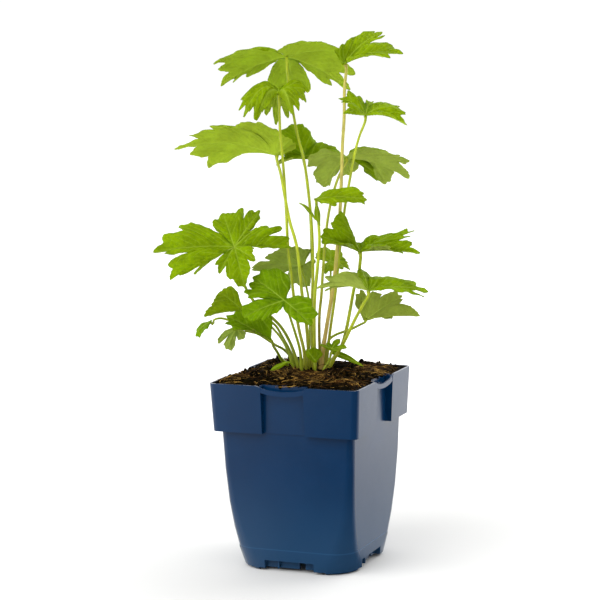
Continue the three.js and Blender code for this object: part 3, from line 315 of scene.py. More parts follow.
# Leaves, read as in the CAD source. Each place is [x, z, y]: x and z where its line of sight meets the
# upright plane through the pot's axis, y how far behind that plane it lies. The hub is where the stalk
# meets the blade, and up is the upper side's direction there. The rim runs round the hub in teeth [x, z, y,
# bay], where bay is how deep the bay after that tooth reaches: 0 at the hub, 1 for no bay. bow is the arch
# between hub and tip as a share of that length. leaf and stalk name their colours, and thick holds the
# stalk's radius at the soil and at the top. route runs down the stalk, and foot is where it leaves the
# soil.
LEAVES = [
    {"name": "leaf_top_left", "hub": [-14.5, 386, 0], "up": [0, 0.75, 0.65], "bow": 0.1, "leaf": "young",
     "stalk": "yellow", "thick": [1.25, 0.95], "foot": [1, 6],
     "rim": [[-41, 390.5, -16, 1], [-60, 385, -13, 0.95], [-70, 380, -8, 0.86], [-66, 375.5, 4, 0.84],
        [-65, 364, 16, 0.86], [-56, 366, 18, 0.85], [-44, 370, 22, 0.2], [-28, 361, 32, 0.85],
        [-20, 352, 40, 0.85], [-8, 349, 44, 0.85], [2, 358, 38, 0.35], [17.5, 362, 30, 0.8],
        [33, 359, 24, 0.78], [36.5, 370.5, 14, 0.86], [28, 389, 2, 0.94], [20.5, 392, -4, 0.96],
        [5, 395, -10, 0.96], [-13.5, 393, -13, 0.9], [-22.5, 390, -14, 1]],
     "route": [[-14, 372, -3], [-10.5, 345, 2], [-7, 325, 5], [-3, 309, 5], [-0.5, 289, 7], [2, 260, 10],
        [2.6, 227.5, 9], [1.5, 200, 8], [1, 175, 7]]},
    {"name": "leaf_top_front", "hub": [-21, 359, -24], "up": [0, 0.2, 0.98], "bow": 0.35, "leaf": "young",
     "stalk": "yellow", "thick": [1.3, 0.95], "foot": [-4.5, -4],
     "rim": [[-39, 337, -42, 0.84], [-48.6, 339, -38, 0.87], [-50, 344.5, -30, 0.87],
        [-49.3, 352, -20, 0.9], [-41, 354, -8, 0.45], [-36, 343.5, -4, 0.8], [-31, 339.5, 0, 0.8],
        [-23.5, 332.5, 2, 0.8], [-14, 338, 2, 0.85], [-11.5, 341, 0, 0.45], [-6.6, 351.2, -8, 0.9],
        [-0.1, 358.5, -16, 0.87], [-0.6, 350.3, -26, 0.78], [-7.2, 343.3, -36, 0.85], [-10.6, 340, -42, 1]],
     "route": [[-20.7, 345, -22], [-20.4, 328, -18], [-19, 311, -9], [-17.8, 290, -2], [-17, 270, 0],
        [-16, 240, 0], [-13.8, 218.5, -1], [-12.5, 205, -2], [-9, 179.5, -3], [-5.5, 163, -4]]},
    {"name": "leaf_top_right", "hub": [29, 380, -6], "up": [-0.3, -0.6, 0.75], "bow": 0.1,
     "leaf": "young", "stalk": "pink", "thick": [1.6, 1.1], "foot": [7.5, -6],
     "rim": [[21, 390.5, -10, 0.9], [24.5, 391.5, -7, 0.7], [37, 398.5, 10, 0.88], [43, 401.5, 14, 0.92],
        [52, 403.5, 18, 0.88], [58, 402.5, 16, 0.84], [60, 398.5, 12, 0.5], [57, 393.5, -2, 0.97],
        [66, 391.5, -8, 0.93], [73.5, 386, -16, 0.86], [67, 386.5, -20, 0.86], [63.5, 381.5, -30, 0.7],
        [46, 384.8, -32, 0.85], [36, 382, -28, 1]],
     "route": [[28.5, 360, -5], [28, 340, -5], [26.5, 320, -6], [25.5, 300, -7], [24, 272, -8],
        [21, 238, -8], [19.5, 224, -8], [16.7, 205.5, -8], [13.5, 187.5, -7], [10.5, 170, -6]]},
    {"name": "leaf_upper_right", "hub": [44, 341, -19], "up": [0, -0.1, 1], "bow": 0.12, "leaf": "young",
     "stalk": "yellow", "thick": [1.2, 0.9], "foot": [11.5, -1],
     "rim": [[26.3, 342, -36, 0.8], [30, 347.5, -28, 0.5], [25.5, 350, -18, 0.85], [23, 353, -13, 0.82],
        [31, 358, -7, 0.9], [36, 354.5, -1, 0.45], [49, 350.5, 4, 0.45], [58.5, 348, 0, 0.85],
        [69.5, 346.5, -6, 0.84], [74.5, 340.5, -17, 0.84], [75.5, 332, -24, 0.8], [68, 335, -32, 0.55],
        [56, 340.5, -38, 1]],
     "route": [[39.5, 326, -17], [36.7, 317, -15], [33, 300, -11], [31, 290, -8], [28, 274.5, -4],
        [24.5, 250, -1], [21.5, 225, 0], [18.8, 203, 0], [16, 185, 0], [13.5, 168, 0]]},
    {"name": "leaf_left_large", "hub": [-23.3, 312, 0], "up": [0, 0.6, 0.8], "bow": 0.12, "leaf": "young",
     "stalk": "yellow", "thick": [1.4, 1.05], "foot": [-1.5, -0.5],
     "rim": [[-8, 318, 4, 0.9], [-13, 324, -6, 0.9], [-22, 328, -12, 0.9], [-37, 335, -18, 0.9],
        [-45, 336.5, -20, 0.97], [-58, 332, -22, 0.93], [-72.5, 333.5, -22, 0.8], [-89.5, 326, -14, 0.77],
        [-101, 317, -4, 0.8], [-88.5, 312, 18, 0.88], [-75, 303, 32, 0.93], [-60, 306, 32, 0.6],
        [-44, 319, 42, 0.88], [-32, 320, 46, 0.88], [-24, 318, 40, 0.4], [-12, 313.5, 8, 1]],
     "route": [[-20.8, 299, -7], [-18.2, 283.5, -11], [-16, 270, -12], [-14, 260, -13], [-11, 249.5, -14],
        [-9, 240, -14], [-7.3, 220, -11], [-6, 205.5, -8], [-3, 180, -3]]},
    {"name": "leaf_middle_dark", "hub": [-3, 311, 14], "up": [0.1, -0.8, 0.5], "bow": 0.08,
     "leaf": "fresh", "stalk": "green", "thick": [1.3, 1], "foot": [3, 10.5],
     "rim": [[-12, 309, 8, 0.9], [-25.5, 304, 17, 0.8], [-16, 312, 24, 0.6], [-19, 331, 27, 0.95],
        [-13.5, 335, 28, 0.95], [-4.5, 335.5, 28, 0.95], [-1, 331, 26, 0.9], [6, 320, 24, 0.97],
        [18, 317.5, 30, 0.95], [29, 311, 36, 0.85], [14, 307, 30, 1]],
     "route": [[-1.5, 299, 13], [0.5, 280, 13.5], [1.5, 260, 15], [1.8, 242, 16], [2, 227.5, 16],
        [2.3, 213, 15], [2, 190, 13]]},
    {"name": "leaf_right_pale", "hub": [29.3, 309, 14], "up": [0, 0.7, 0.7], "bow": 0.1, "leaf": "fresh",
     "stalk": "red", "thick": [1.2, 0.95], "foot": [7, 5.5],
     "rim": [[22, 313, 6, 0.98], [10, 314.5, 0, 0.97], [1, 311.5, 0, 0.97], [0, 302, 9, 0.8],
        [5, 296, 20, 0.97], [6.5, 289.5, 27, 0.97], [11.5, 285.5, 30, 0.97], [17, 288, 32, 0.97],
        [21, 294, 34, 0.6], [26.5, 294.7, 38, 0.97], [32, 295, 40, 0.97], [36.5, 299, 38, 0.5],
        [50, 300, 31, 0.97], [53, 291.5, 37, 0.97], [59, 287.5, 40, 0.97], [63, 290, 39, 0.97],
        [65, 296, 36, 0.75], [77, 291.5, 34, 0.8], [76.5, 304.5, 10, 0.9], [70, 309, 2, 0.93],
        [57.5, 312, -4, 0.97], [47, 315, -6, 0.97], [37, 313.5, -2, 1]],
     "route": [[24, 297, 8], [20, 286.5, 7], [16, 271.5, 6], [13.5, 257, 5], [9.8, 220, 5], [8.7, 205.5, 5],
        [7, 191, 5], [6.5, 175, 5]]},
    {"name": "leaf_left_open", "hub": [-57, 243, -15], "up": [-0.05, -0.75, 0.65], "bow": 0.06,
     "leaf": "fresh", "stalk": "green", "thick": [1.3, 1], "foot": [-10, 2],
     "rim": [[-37, 266, 6, 0.93], [-36.5, 270.5, 9, 0.95], [-43, 270.5, 8, 0.73], [-50, 271.5, 8, 0.93],
        [-60, 268.8, 6, 0.97], [-66, 268.3, 5, 0.95], [-72, 263, 0, 0.95], [-72.5, 258, -3, 0.42],
        [-80, 256.5, -6, 0.97], [-89, 260.5, -3, 0.95], [-99, 259.5, -4, 0.8], [-110.5, 251.5, -12, 0.93],
        [-119.5, 239.5, -22, 0.9], [-110, 238.2, -24, 0.68], [-108, 229.5, -32, 0.93],
        [-107, 217.5, -42, 0.93], [-98.5, 221.3, -40, 0.74], [-89, 222, -38, 0.86], [-81, 229.5, -32, 0.4],
        [-72.5, 229, -30, 0.88], [-70, 222.7, -34, 0.71], [-62, 218, -38, 0.93], [-54, 211.5, -42, 0.97],
        [-49, 211, -42, 0.95], [-45.5, 222, -36, 0.68], [-41, 231.5, -28, 0.9], [-43, 240.5, -20, 0.6],
        [-28, 241, -14, 0.88], [-12, 240.5, -9, 0.9], [-14.5, 248.5, -7, 0.66], [-19.5, 256.5, -5, 0.85],
        [-31.5, 258.5, -3, 0.93], [-41, 257.5, -4, 1]],
     "route": [[-54, 228, -8], [-49.5, 213, -2], [-42, 200, 1], [-31, 190, 2], [-22.5, 181, 3],
        [-15.5, 168, 3]]},
    {"name": "leaf_front_dark", "hub": [-20, 201.5, -38], "up": [0, -0.8, 0.6], "bow": 0.06,
     "leaf": "shaded", "stalk": "green", "thick": [1.2, 0.9], "foot": [-7.5, -8],
     "rim": [[-16, 212, -31, 0.97], [-17, 221, -25, 0.95], [-26, 225, -22, 0.97], [-36, 225, -22, 0.93],
        [-44, 220.5, -25, 0.88], [-46.5, 214, -29, 0.86], [-50.5, 207.5, -34, 0.9], [-48, 203, -37, 0.5],
        [-45, 199.5, -40, 0.97], [-52, 196, -43, 0.97], [-53, 190, -48, 0.97], [-46, 184.7, -52, 0.88],
        [-36, 185, -52, 0.85], [-29, 190, -49, 0.4], [-16, 189, -47, 0.95], [-9.5, 183.5, -50, 0.9],
        [1, 180.5, -50, 0.93], [5.5, 189, -45, 0.9], [0.5, 200, -38, 0.97], [-9, 203.5, -36, 1]],
     "route": [[-17, 193, -32], [-14.5, 185, -27], [-11.5, 175, -19], [-8.5, 163, -12]]},
    {"name": "leaf_left_fan", "hub": [-52, 194.5, 8], "up": [-0.2, -0.55, 0.8], "bow": 0.06,
     "leaf": "olive", "stalk": "green", "thick": [1.1, 0.85], "foot": [-12.5, 7],
     "rim": [[-60, 212.7, 18, 0.96], [-65.5, 211.5, 18, 0.97], [-70, 208.5, 16, 0.93], [-76, 198, 10, 0.97],
        [-82.5, 189.3, 4, 0.93], [-73, 191.2, 2, 0.92], [-62, 192.8, 2, 1]],
     "route": [[-45, 191, 9], [-35, 188, 9.5], [-27, 182.5, 10], [-21.5, 173, 9.5], [-16, 162, 8]]},
    {"name": "leaf_low_front", "hub": [-31.5, 172, -12], "up": [-0.5, -0.6, 0.6], "bow": 0.05,
     "leaf": "shaded", "stalk": "green", "thick": [1.2, 0.95], "foot": [-18.5, 14],
     "rim": [[-29, 184, -9, 0.97], [-31, 192, -6, 0.95], [-45, 195, -6, 0.95], [-57, 193.7, -8, 0.93],
        [-65, 190.3, -12, 0.9], [-66.5, 183.5, -18, 0.9], [-60, 178, -22, 0.86], [-50.5, 176.5, -24, 0.88],
        [-43, 180.3, -20, 0.88], [-38, 176, -16, 1]],
     "route": [[-29, 167, -6], [-26, 162, 2], [-23, 156.5, 9]]},
    {"name": "leaf_low_hanging", "hub": [-57, 180.5, 2], "up": [0, 0.9, 0.2], "bow": 0.08,
     "leaf": "olive", "stalk": "green", "thick": [1, 0.8], "foot": [-14, 2],
     "rim": [[-66, 178, 0, 0.97], [-71.5, 172, -3, 0.97], [-71.5, 168.7, -4, 0.5], [-67, 168.3, -4, 0.97],
        [-65, 164.3, -4, 0.97], [-61.5, 162.3, -4, 0.97], [-59, 167, -3, 0.5], [-55, 171.5, 0, 0.97],
        [-50.3, 172.5, 2, 0.97], [-49.5, 177, 3, 1]],
     "route": [[-50, 184, 3], [-40, 185, 4], [-33, 183.5, 4.5], [-27, 178, 4], [-20, 167.5, 3]]},
    {"name": "leaf_low_curled", "hub": [-76.5, 186, -8], "up": [-0.6, -0.3, 0.6], "bow": 0.12,
     "leaf": "shaded", "stalk": "green", "thick": [1.1, 0.8], "foot": [-12.5, 18],
     "rim": [[-83, 184, -4, 0.95], [-86.5, 178, -8, 0.95], [-88.3, 174.5, -12, 0.93],
        [-83.5, 172.5, -16, 0.93], [-79.3, 179, -18, 1]],
     "route": [[-74, 187.3, -7], [-68.5, 188.7, -5], [-61, 186.5, -3], [-50, 181.5, -2], [-41.5, 177, 0],
        [-34, 172, 6], [-27.5, 167.5, 10], [-20, 163, 15]]},
    {"name": "leaf_behind_left", "hub": [-6, 228, 20], "up": [0, 0.55, 0.8], "bow": 0.08, "leaf": "olive",
     "stalk": "green", "thick": [1.1, 0.8], "foot": [-3, 13.5],
     "rim": [[1, 240.5, 10, 0.9], [-10, 240.5, 6, 0.95], [-22, 240.5, 6, 0.95], [-31, 236.5, 8, 0.95],
        [-34, 232.8, 10, 0.7], [-45, 227, 14, 0.95], [-44, 223.5, 18, 0.9], [-30, 221, 26, 0.6],
        [-13, 213, 36, 0.95], [-7, 210.5, 38, 0.95], [0.5, 211, 36, 0.93], [1.5, 222, 30, 0.9],
        [5, 231, 22, 1]],
     "route": [[-4, 217, 19], [-1.5, 205, 18], [-0.5, 190, 17], [-1, 170, 16]]},
    {"name": "leaf_right_wing", "hub": [38.3, 238, -6], "up": [-0.2, -0.3, 0.93], "bow": 0.04,
     "leaf": "fresh", "stalk": "yellow", "thick": [1.4, 1.2], "foot": [14, 5],
     "rim": [[28, 242, -22, 0.97], [13, 242.3, -20, 0.97], [8.6, 244, -19, 0.97], [7.8, 250.5, -18, 0.97],
        [10.5, 256.3, -16, 0.82], [15.7, 260.5, -14, 0.97], [19.5, 265.5, -13, 0.97],
        [23.8, 270, -12, 0.97], [26.5, 267.5, -11, 0.97], [28.5, 257, -10, 0.93], [31.5, 247, 2, 0.97],
        [37, 244.2, 8, 0.97], [41, 243.3, 8, 0.6], [48.5, 249, 6, 0.93], [60, 249, 4, 0.93],
        [75.5, 254, 0, 0.92], [81, 252, -4, 0.8], [78.5, 247.5, -9, 0.68], [79, 243, -14, 0.88],
        [85, 235.5, -20, 0.72], [71.5, 233.5, -26, 0.8], [60, 240, -26, 0.97], [48, 240, -22, 1]],
     "route": [[38.5, 230, -3.2], [37.2, 221, 1.5], [34, 211.5, 4], [30.5, 194, 4.5], [27.5, 179.5, 5],
        [24, 167, 5], [18.5, 158, 5]]},
    {"name": "leaf_right_long", "hub": [44.5, 208, -25], "up": [0, -0.05, 1], "bow": 0.08,
     "leaf": "fresh", "stalk": "yellow", "thick": [1.4, 1.1], "foot": [13.5, -5],
     "rim": [[36, 219.5, -34, 0.95], [31.5, 221.5, -36, 0.97], [20, 219.3, -36, 0.95],
        [11.5, 217, -34, 0.76], [4, 210, -28, 0.76], [10.5, 206.5, -22, 0.82], [20, 210, -14, 0.8],
        [33, 213, -8, 0.6], [38, 226, 0, 0.93], [44, 217, 3, 0.75], [64.5, 215.3, -4, 0.95],
        [79.5, 211.5, -12, 0.88], [90.5, 205.5, -20, 0.74], [87.5, 199.5, -28, 0.85], [76, 203, -32, 0.95],
        [57, 206.5, -36, 1]],
     "route": [[42, 200, -22], [38.5, 194, -19], [34.5, 187, -16], [30, 178, -13], [25.5, 169, -10],
        [20.5, 160.5, -7]]},
    {"name": "leaf_right_low", "hub": [42.3, 186, 2], "up": [0.1, 0.85, 0.4], "bow": 0.06,
     "leaf": "shaded", "stalk": "green", "thick": [1.1, 0.85], "foot": [10.5, 11],
     "rim": [[36.3, 195, -4, 0.95], [35.3, 205.7, -8, 0.9], [38, 207.3, -10, 0.79],
        [48.5, 206.7, -12, 0.97], [54.5, 205, -12, 0.73], [61, 205.5, -12, 0.97], [67, 206, -12, 0.95],
        [71, 203.7, -10, 0.93], [71, 199, -6, 0.7], [75, 195.5, -2, 0.97], [85, 187.3, 2, 0.62],
        [66.5, 188, 10, 0.93], [62.5, 183.7, 14, 0.93], [50, 185.5, 10, 1]],
     "route": [[38.5, 182.2, 3], [31, 178.5, 7], [25, 176.5, 9], [19, 174.3, 11], [14, 170.5, 11]]},
    {"name": "leaf_behind_right", "hub": [16, 231, 33], "up": [0, -0.4, 0.9], "bow": 0.08,
     "leaf": "olive", "stalk": "green", "thick": [1.1, 0.8], "foot": [5.5, 15.5],
     "rim": [[9, 225, 20, 0.9], [11.5, 220.5, 14, 0.9], [17, 222, 14, 0.88], [24.5, 223.3, 18, 0.8],
        [31.5, 222.5, 22, 0.88], [27, 229, 34, 0.85], [21, 238, 46, 0.97], [14, 240.5, 48, 0.97],
        [8, 240, 44, 0.95], [4, 233, 34, 1]],
     "route": [[15.8, 215, 30], [15.3, 200, 27], [13, 187, 24], [10, 172, 20]]},
    {"name": "leaf_shoot", "hub": [6, 278.5, -25], "up": [0, -0.35, 0.95], "bow": 0.06, "leaf": "young",
     "stalk": "yellow", "thick": [1.6, 1], "foot": [2.5, -3],
     "rim": [[12, 273.3, -38, 0.97], [20.5, 271.5, -42, 0.88], [29, 273.5, -42, 0.88],
        [38, 272.6, -40, 0.97], [43.5, 273, -37, 0.97], [45, 276.5, -33, 0.93], [42, 281.5, -28, 0.97],
        [37.5, 284.3, -24, 0.9], [31, 284.3, -20, 0.93], [24, 283, -17, 0.88], [13, 281.5, -15, 1]],
     "route": [[6.5, 270, -25], [7.5, 258, -24.5], [7.8, 245, -22], [6.5, 231, -19], [5.3, 220, -17],
        [4, 209.5, -15], [3, 195, -11], [2.6, 178, -7]]},
    {"name": "leaf_base_fan", "hub": [2.5, 155, -13], "up": [0, -0.9, 0.4], "bow": 0.05, "leaf": "fresh",
     "stalk": "green", "thick": [0.9, 0.8], "foot": [3, -10.5],
     "rim": [[-3.5, 157.5, -14, 0.97], [-4.2, 163.5, -12, 0.95], [2, 165, -11, 0.95], [8, 162, -12, 0.95],
        [9.5, 159.5, -14, 1]],
     "route": [[2.8, 151.5, -11.5]]},
    {"name": "leaf_base_spread", "hub": [15.8, 163.5, -14], "up": [0, -0.5, 0.85], "bow": 0.05,
     "leaf": "fresh", "stalk": "green", "thick": [0.9, 0.75], "foot": [9.5, -11],
     "rim": [[5.5, 166.5, -18, 0.4], [12, 167.5, -11, 0.4], [22, 170.8, -8, 0.35], [28.5, 163.3, -17, 0.4],
        [21, 161.5, -19, 1]],
     "route": [[15.3, 159.5, -13], [13.5, 154, -11.5]]},
]

# Narrow blades that need no rim: midrib places, half width at the widest, where along them that is, and
# the direction across
STRAPS = [
    {"name": "strap_base_right", "leaf": "fresh", "half": 2.7, "belly": 0.5, "side": [0.1, 0.6, 0.8],
     "midrib": [[15.8, 152.6, 1], [14.2, 157.5, 0], [16, 160.6, -1], [22, 158.5, -4], [30, 154.8, -7],
        [40, 149.4, -10]]},
    {"name": "strap_base_left", "leaf": "fresh", "half": 2.2, "belly": 0.72, "side": [0.1, 0.6, 0.8],
     "midrib": [[-12.8, 147.9, -8], [-15, 152.5, -8.5], [-18.5, 153.8, -9], [-23, 152, -10],
        [-28, 149.5, -11], [-31.5, 147.6, -12]]},
    {"name": "bract_left", "leaf": "young", "half": 1.8, "belly": 0.5, "side": [0.6, -0.6, 0.5],
     "midrib": [[5, 262.5, -26.8], [2, 267, -27.5], [-2.5, 272.5, -28.5], [-7.5, 276, -29]]},
    {"name": "bract_front", "leaf": "young", "half": 2.3, "belly": 0.5, "side": [1, 0, 0],
     "midrib": [[8.2, 258, -26.9], [6.8, 264, -28.2], [6.2, 270, -28.4], [5.8, 276, -28.8]]},
]


def linear(hex_value):
    """Linear RGBA of an sRGB hex colour such as "#3f7a1c": the sRGB curve undone channel by channel."""
    channels = np.array([int(hex_value[i:i + 2], 16) for i in (1, 3, 5)]) / 255
    curved = ((channels + 0.055) / 1.055) ** 2.4
    values = np.where(channels <= 0.04045, channels / 12.92, curved)
    return (*[float(value) for value in values], 1.0)


def colour_prop(name, hex_value, description):
    return bpy.props.FloatVectorProperty(
        name=name, description=description, default=linear(hex_value), size=4, min=0, max=1, subtype="COLOR")


def number_prop(name, default, description, **limits):
    return bpy.props.FloatProperty(name=name, description=description, default=default, min=0, **limits)


def length_prop(name, millimetres, description):
    return number_prop(name, millimetres * MM, description, precision=5, subtype="DISTANCE", unit="LENGTH")


def count_prop(name, default, description, most):
    return bpy.props.IntProperty(name=name, description=description, default=default, min=0, max=most)


class BladeSettings(bpy.types.PropertyGroup):
    """Sizes and colours of the leaf blades"""
    thickness: length_prop("Thickness", 0.42, "Thickness of a blade away from its veins")
    rim_step: length_prop("Rim step", 0.8, "Distance between points along a blade's rim")
    ring_step: length_prop("Ring step", 1.5, "Distance between points from the stalk to the rim")
    vein_depth: length_prop("Vein depth", 0.42, "How deep the veins are sunk in the upper side")
    lobe_fold: length_prop("Lobe fold", 2.6, "How far a lobe rises away from its midrib")
    quilt: length_prop("Quilt", 0.24, "How far the blade rises between its fine side veins")
    blister: length_prop("Blister", 0.42, "Height of the uneven skin between the veins")
    serration: length_prop("Serration", 1.6, "Height of the fine teeth along the rim")
    wave: length_prop("Wave", 0.6, "Height of the waves along the rim")
    wave_length: length_prop("Wave length", 15, "Length of one wave along the rim")
    young_upper: colour_prop("Young, upper side", "#849e00", "Upper side of the youngest blades")
    fresh_upper: colour_prop("Fresh, upper side", "#7f9c00", "Upper side of full-grown blades")
    shaded_upper: colour_prop("Shaded, upper side", "#729600", "Upper side of the low blades")
    olive_upper: colour_prop("Old, upper side", "#839c08", "Upper side of the oldest blades")
    young_under: colour_prop("Young, underside", "#b9d03a", "Underside of the youngest blades")
    fresh_under: colour_prop("Fresh, underside", "#b6c65a", "Underside of full-grown blades")
    shaded_under: colour_prop("Shaded, underside", "#a8b64a", "Underside of the low blades")
    olive_under: colour_prop("Old, underside", "#abbd5c", "Underside of the oldest blades")


class StalkSettings(bpy.types.PropertyGroup):
    """Sizes and colours of the stalks"""
    step: length_prop("Step", 2.2, "Distance between sections along a stalk")
    rib: number_prop("Rib", 0.07, "Height of the ribs along a stalk, as a share of its radius",
                     max=0.3, subtype="FACTOR")
    sheath: number_prop("Sheath", 0.35, "How much wider a stalk is at the soil, as a share of its radius",
                        max=1, subtype="FACTOR")
    hair: length_prop("Hair", 0.7, "Usual length of the hairs on the stalks")
    hair_spacing: length_prop("Hair spacing", 0.5, "Way along a stalk for each hair")
    yellow: colour_prop("Yellow green", "#b2be28", "Stalks of the tall leaves")
    green: colour_prop("Green", "#9eae24", "Stalks of the low leaves")
    pink: colour_prop("Pinkish", "#c6bc5e", "The stalk with a pinkish flush")
    red: colour_prop("Reddish", "#acb432", "The stalk with a reddish lower part")


class SoilSettings(bpy.types.PropertyGroup):
    """Sizes and colours of the peat and what lies on it"""
    crumb: length_prop("Crumb", 1.9, "Height of the coarsest crumbs in the peat's surface")
    fibre_count: count_prop("Fibres", 950, "How many fibres lie on the peat", 3000)
    lump_count: count_prop("Lumps", 900, "How many loose lumps lie on the peat", 4000)
    peat: colour_prop("Peat", "#0b0702", "Moist peat")
    dry: colour_prop("Dry peat", "#151004", "Peat that has dried at the surface")
    tan: colour_prop("Tan fibre", "#be9448", "Light fibres")
    rust: colour_prop("Rust fibre", "#573710", "Red-brown fibres")
    straw: colour_prop("Straw", "#38270b", "Drifts of straw and bark bits")


class PotSettings(bpy.types.PropertyGroup):
    """Finish of the moulded pot"""
    edge: length_prop("Edge", 0.45, "Width of the rounding along the pot's edges")
    plastic: colour_prop("Plastic", "#002648", "Moulded polypropylene")
    wear_and_highlight: colour_prop("Worn", "#1b3b5a", "Where the plastic is rubbed or dusty")


class StudioSettings(bpy.types.PropertyGroup):
    """Floor and light of the studio"""
    floor: colour_prop("Floor", "#d0d0cf", "Floor")
    world: number_prop("World", 1.04, "Strength of the white surroundings")
    dark: number_prop("Dark screen", 0.0, "Strength that gloss mirrors at the front right")
    bright: number_prop("Lit wall", 1.75, "Strength that gloss mirrors behind the plant")
    key: number_prop("Key", 40, "Power of the large light above the camera", subtype="POWER", unit="POWER")
    back: number_prop("Back", 27, "Power of the light behind the plant", subtype="POWER", unit="POWER")


class DelphiniumSettings(bpy.types.PropertyGroup):
    """All the settings of the potted delphinium"""
    blades: bpy.props.PointerProperty(type=BladeSettings, name="Blades", description="Leaf blades")
    stalks: bpy.props.PointerProperty(type=StalkSettings, name="Stalks", description="Leaf stalks")
    soil: bpy.props.PointerProperty(type=SoilSettings, name="Soil", description="Peat and fibres")
    pot: bpy.props.PointerProperty(type=PotSettings, name="Pot", description="Moulded pot")
    studio: bpy.props.PointerProperty(type=StudioSettings, name="Studio", description="Floor and light")


def place(readings):
    """True points of readings [x, z, y]: x and z are scaled about the eye by 1 + y / distance."""
    x, z, y = np.moveaxis(np.asarray(readings, float)[..., :3], -1, 0)
    nearness = 1 + y / EYE_DISTANCE
    return np.stack([EYE_X + (x - EYE_X) * nearness, y, EYE_HEIGHT + (z - EYE_HEIGHT) * nearness], -1)


def turned(points):
    """Points of the plant's frame turned about the pot's axis by PLANT_TURN."""
    c, s = math.cos(PLANT_TURN), math.sin(PLANT_TURN)
    return points @ np.array([[c, s, 0], [-s, c, 0], [0, 0, 1]])


def unit(vectors):
    """Vectors divided by their lengths."""
    return vectors / np.maximum(np.linalg.norm(vectors, axis=-1, keepdims=True), 1e-9)


def smooth_share(values, low, high):
    """0 below low, 1 above high, and the smooth step 3 t^2 - 2 t^3 between."""
    t = np.clip((values - low) / (high - low), 0, 1)
    return t * t * (3 - 2 * t)


def walked(line):
    """Way along a line from its start to each of its points."""
    return np.concatenate([[0], np.cumsum(np.linalg.norm(np.diff(line, axis=0), axis=1))])


def walked_round(ring):
    """Way along a closed line to each of its points, counted from its last point."""
    return np.cumsum(np.linalg.norm(ring - np.roll(ring, 1, 0), axis=1))


def stopped(stops, way, points):
    """Points of a line at the given stops along its way, straight between its own points."""
    return np.stack([np.interp(stops, way, points[:, i]) for i in range(3)], -1)


def circle(count):
    """Evenly spaced angles once round."""
    return np.arange(count) * 2 * math.pi / count


def ring_faces(grid):
    """Four-cornered faces between neighbouring closed rings of point numbers, which lie along the last
    axis of the grid."""
    beside = np.roll(grid, -1, -1)
    corners = [grid[..., :-1, :], beside[..., :-1, :], beside[..., 1:, :], grid[..., 1:, :]]
    return np.stack(corners, -1).reshape(-1, 4)


def skin_faces(rows, columns):
    """Faces of a closed skin whose points come ring by ring, with its two end points last: four-cornered
    faces between rings, and a fan of triangles at each end."""
    grid = np.arange(rows * columns).reshape(rows, columns)
    beside = np.roll(grid, -1, 1)
    start = np.stack([np.full(columns, grid.size), beside[0], grid[0]], -1)
    end = np.stack([np.full(columns, grid.size + 1), grid[-1], beside[-1]], -1)
    return [ring_faces(grid), start, end]


def add_piece(name, points, faces, slot, replaces=(), materials=(), face_materials=None, fields=None):
    """Puts points in mm and blocks of faces with equal corner counts into a new mesh, with the given point
    fields, and makes it a piece that rides on the body. No point passes the CAD model's box."""
    mesh = bpy.data.meshes.new(name)
    points = np.clip(np.asarray(points) * MM, *np.array([list(corner) for corner in CAD_BOX]))
    mesh.vertices.add(len(points))
    mesh.vertices.foreach_set("co", points.astype(np.float32).ravel())
    corners = np.concatenate([block.ravel() for block in faces])
    counts = np.concatenate([np.full(len(block), block.shape[1]) for block in faces])
    mesh.loops.add(len(corners))
    mesh.loops.foreach_set("vertex_index", corners.astype(np.int32))
    mesh.polygons.add(len(counts))
    mesh.polygons.foreach_set("loop_start", (np.cumsum(counts) - counts).astype(np.int32))
    mesh.polygons.foreach_set("use_smooth", np.ones(len(counts), bool))
    for material in materials:
        mesh.materials.append(material)
    if face_materials is not None:
        mesh.polygons.foreach_set("material_index", np.asarray(face_materials, np.int32))
    for field, values in (fields or {}).items():
        values = np.asarray(values, np.float32)
        kind, key = ("FLOAT_VECTOR", "vector") if values.ndim == 2 else ("FLOAT", "value")
        mesh.attributes.new(field, kind, "POINT").data.foreach_set(key, values.ravel())
    mesh.update(calc_edges=True)
    mesh.validate()
    piece = bpy.data.objects.new(name, mesh)
    bpy.context.scene.collection.objects.link(piece)
    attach(piece, "root")
    if replaces:
        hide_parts(*replaces)


def add_node(tree, kind, inputs=(), settings=None):
    """Adds one node, sets its properties, and sets or links its inputs, which come in their order or by name
    or number. Gives the node's outputs."""
    node = tree.nodes.new("ShaderNode" + kind)
    for key, value in (settings or {}).items():
        setattr(node, key, value)
    for key, value in inputs.items() if isinstance(inputs, dict) else enumerate(inputs):
        if isinstance(value, bpy.types.NodeSocket):
            tree.links.new(value, node.inputs[key])
        else:
            node.inputs[key].default_value = value
    return node.outputs


def new_material(name, grains, fields=(), skin_field=None):
    """A material, its node tree and the values it reads, by name: the place in the object, or in a vector
    field of the mesh, then other fields of the mesh, then noises. A noise is given by the width of its
    grains in mm, its detail, its roughness and, where it is drawn out, its scale along x, y and z."""
    material = bpy.data.materials.new(name)
    material.use_nodes = True
    tree = material.node_tree
    tree.nodes.clear()
    if skin_field:
        read = {"place": add_node(tree, "Attribute", (), {"attribute_name": skin_field})["Vector"]}
    else:
        read = {"place": add_node(tree, "TexCoord")["Object"]}
    for field in fields:
        read[field] = add_node(tree, "Attribute", (), {"attribute_name": field})["Fac"]
    for grain, (millimetres, detail, roughness, *drawn_out) in grains.items():
        spot = read["place"]
        for scale in drawn_out:
            spot = add_node(tree, "Mapping", {"Vector": spot, "Scale": scale})[0]
        read[grain] = add_node(tree, "TexNoise", {"Vector": spot, "Scale": 1 / (millimetres * MM),
                                                  "Detail": detail, "Roughness": roughness})["Fac"]
    return material, tree, read


